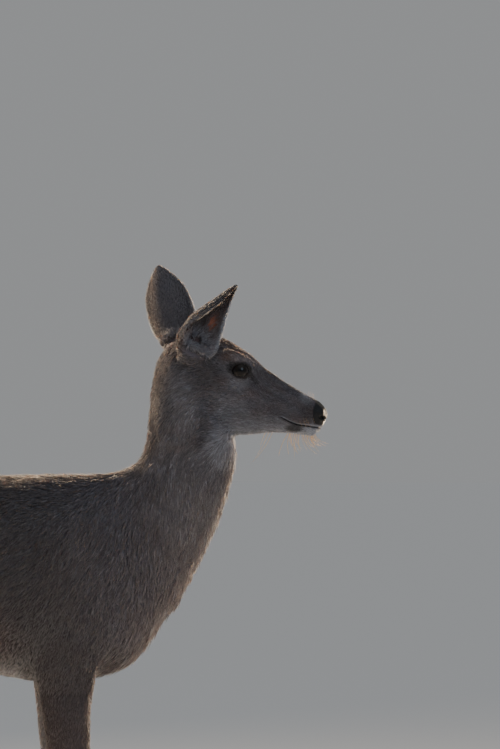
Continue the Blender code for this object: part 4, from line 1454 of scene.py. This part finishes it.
def bodyShare(points):
    # where the flesh is smoothed most: 1 on the body, less on the legs, 0 on head and ears
    u, _, v = inHead(points)
    onHead = between(u, 0.0, 0.05) * between(v, -0.14, -0.11)
    onHead = np.maximum(onHead, between(earShare(points), -0.02, 0.1))
    legs = 1 - between(points[:, 2], 0.44, 0.56)
    return (1 - onHead) * (1 - 0.75 * legs)


skin = fusedFlesh()
print("flesh fused,", len(skin.data.vertices), "points")
coords = coordsOf(skin.data)
eased(skin, skinLooks["bodyRounds"], bodyShare(coords))
eased(skin, skinLooks["headRounds"], np.ones(len(coords)))
refined(skin)
carveFace(skin)
insetSkin(skin)
taperEar(skin)
thin = skin.modifiers.new("thin", "DECIMATE")
thin.ratio = skinLooks["triangles"] / (2 * len(skin.data.polygons))
thin.use_collapse_triangulate = True
applied(skin)
skin.data.shade_smooth()
coords, normals = coordsOf(skin.data), normalsOf(skin.data)
written(skin.data, markings(coords, normals))
skin.data.materials.clear()
skin.data.materials.append(skinMaterial())
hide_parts(*fleshNames)
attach(skin, "root")
print("skin shaped and marked,", len(skin.data.polygons), "faces")

faces = np.empty(len(skin.data.polygons) * 3, np.int32)
skin.data.polygons.foreach_get("vertices", faces)
faces = faces.reshape(-1, 3)
tree = BVHTree.FromPolygons(coords.tolist(), faces.tolist())
regions = regionOf(coords[faces].mean(1))
hair = hairMaterial()
feet = footTree(skin, claws(hornMaterial()))
print("claws and dewclaws finished")
names = []
for part in coatPieces:
    sided = part in ("coat_neck", "coat_fore", "coat_hind")
    names += [part + "_left", part + "_right"] if sided else [part]
for i, name in enumerate(names):
    coatPiece(name, skin, feet if name == "coat_legs" else tree, regions, hair, 40 + i * 7)
whiskers(tree)
wet = eyeMaterial()
for name, side in (("eye_left", 1), ("eye_right", -1)):
    eye(name, side).data.materials.append(wet)
eyeSurrounds()
print("eyes, lids and lashes finished")

studioLooks = {
    "middle": (0.501, 0.0, 1.059),  # what the camera looks at, how far off and how wide
    "distance": 9.0,
    "width": 0.90,
    "floor": (0.72, 0.73, 0.74),
    "air": (0.96, 0.98, 1.0),
    "around": 0.30,
    "top": 0.36,
    "aim": (0.3, 0.0, 0.85),
    # lamps: place, size, power and colour
    "key": ((2.4, -3.2, 2.9), 2.4, 46, (0.66, 0.82, 1.0)),
    "rimBack": ((-2.2, 2.1, 2.2), 0.9, 230, (1.0, 0.78, 0.54)),
    "rimHigh": ((0.0, 2.5, 2.8), 0.8, 190, (1.0, 0.78, 0.54)),
    "rimFront": ((2.3, 2.7, 0.55), 0.8, 235, (1.0, 0.78, 0.54)),
}


def studio():
    looks = studioLooks
    mesh = bmesh.new()
    bmesh.ops.create_grid(mesh, x_segments=1, y_segments=1, size=40)
    floor = linked("floor", meshFrom(mesh, "floor"))
    paint = Finish("floor_paint")
    paint.set(BaseColor=looks["floor"], Roughness=1.0, SpecularIORLevel=0.0)
    floor.data.materials.append(paint.material)
    world = bpy.data.worlds.new("studio")
    bpy.context.scene.world = world
    world.use_nodes = True
    world.node_tree.nodes["Background"].inputs["Color"].default_value = (*looks["air"], 1)
    world.node_tree.nodes["Background"].inputs["Strength"].default_value = looks["around"]
    top = bpy.data.lights.new("top", "SUN")
    top.energy = looks["top"]
    top.angle = math.radians(70)
    linked("top", top).rotation_euler = (math.radians(18), math.radians(8), 0)
    for name in ("key", "rimBack", "rimHigh", "rimFront"):
        spotAt, size, power, colour = looks[name]
        lamp = bpy.data.lights.new(name, "AREA")
        lamp.shape = "DISK"
        lamp.size = size
        lamp.energy = power
        lamp.color = colour
        held = linked(name, lamp)
        held.location = spotAt
        held.rotation_euler = (Vector(looks["aim"]) - Vector(spotAt)).to_track_quat("-Z", "Y").to_euler()
        held.visible_camera = False
    camera = bpy.data.cameras.new("camera")
    camera.sensor_fit = "HORIZONTAL"
    camera.lens = camera.sensor_width * looks["distance"] / looks["width"]
    camera.clip_end = 100
    held = linked("camera", camera)
    x, y, z = looks["middle"]
    held.location = (x, y - looks["distance"], z)
    held.rotation_euler = (math.radians(90), 0, 0)
    bpy.context.scene.camera = held
    print("floor, lights and camera set")


studio()
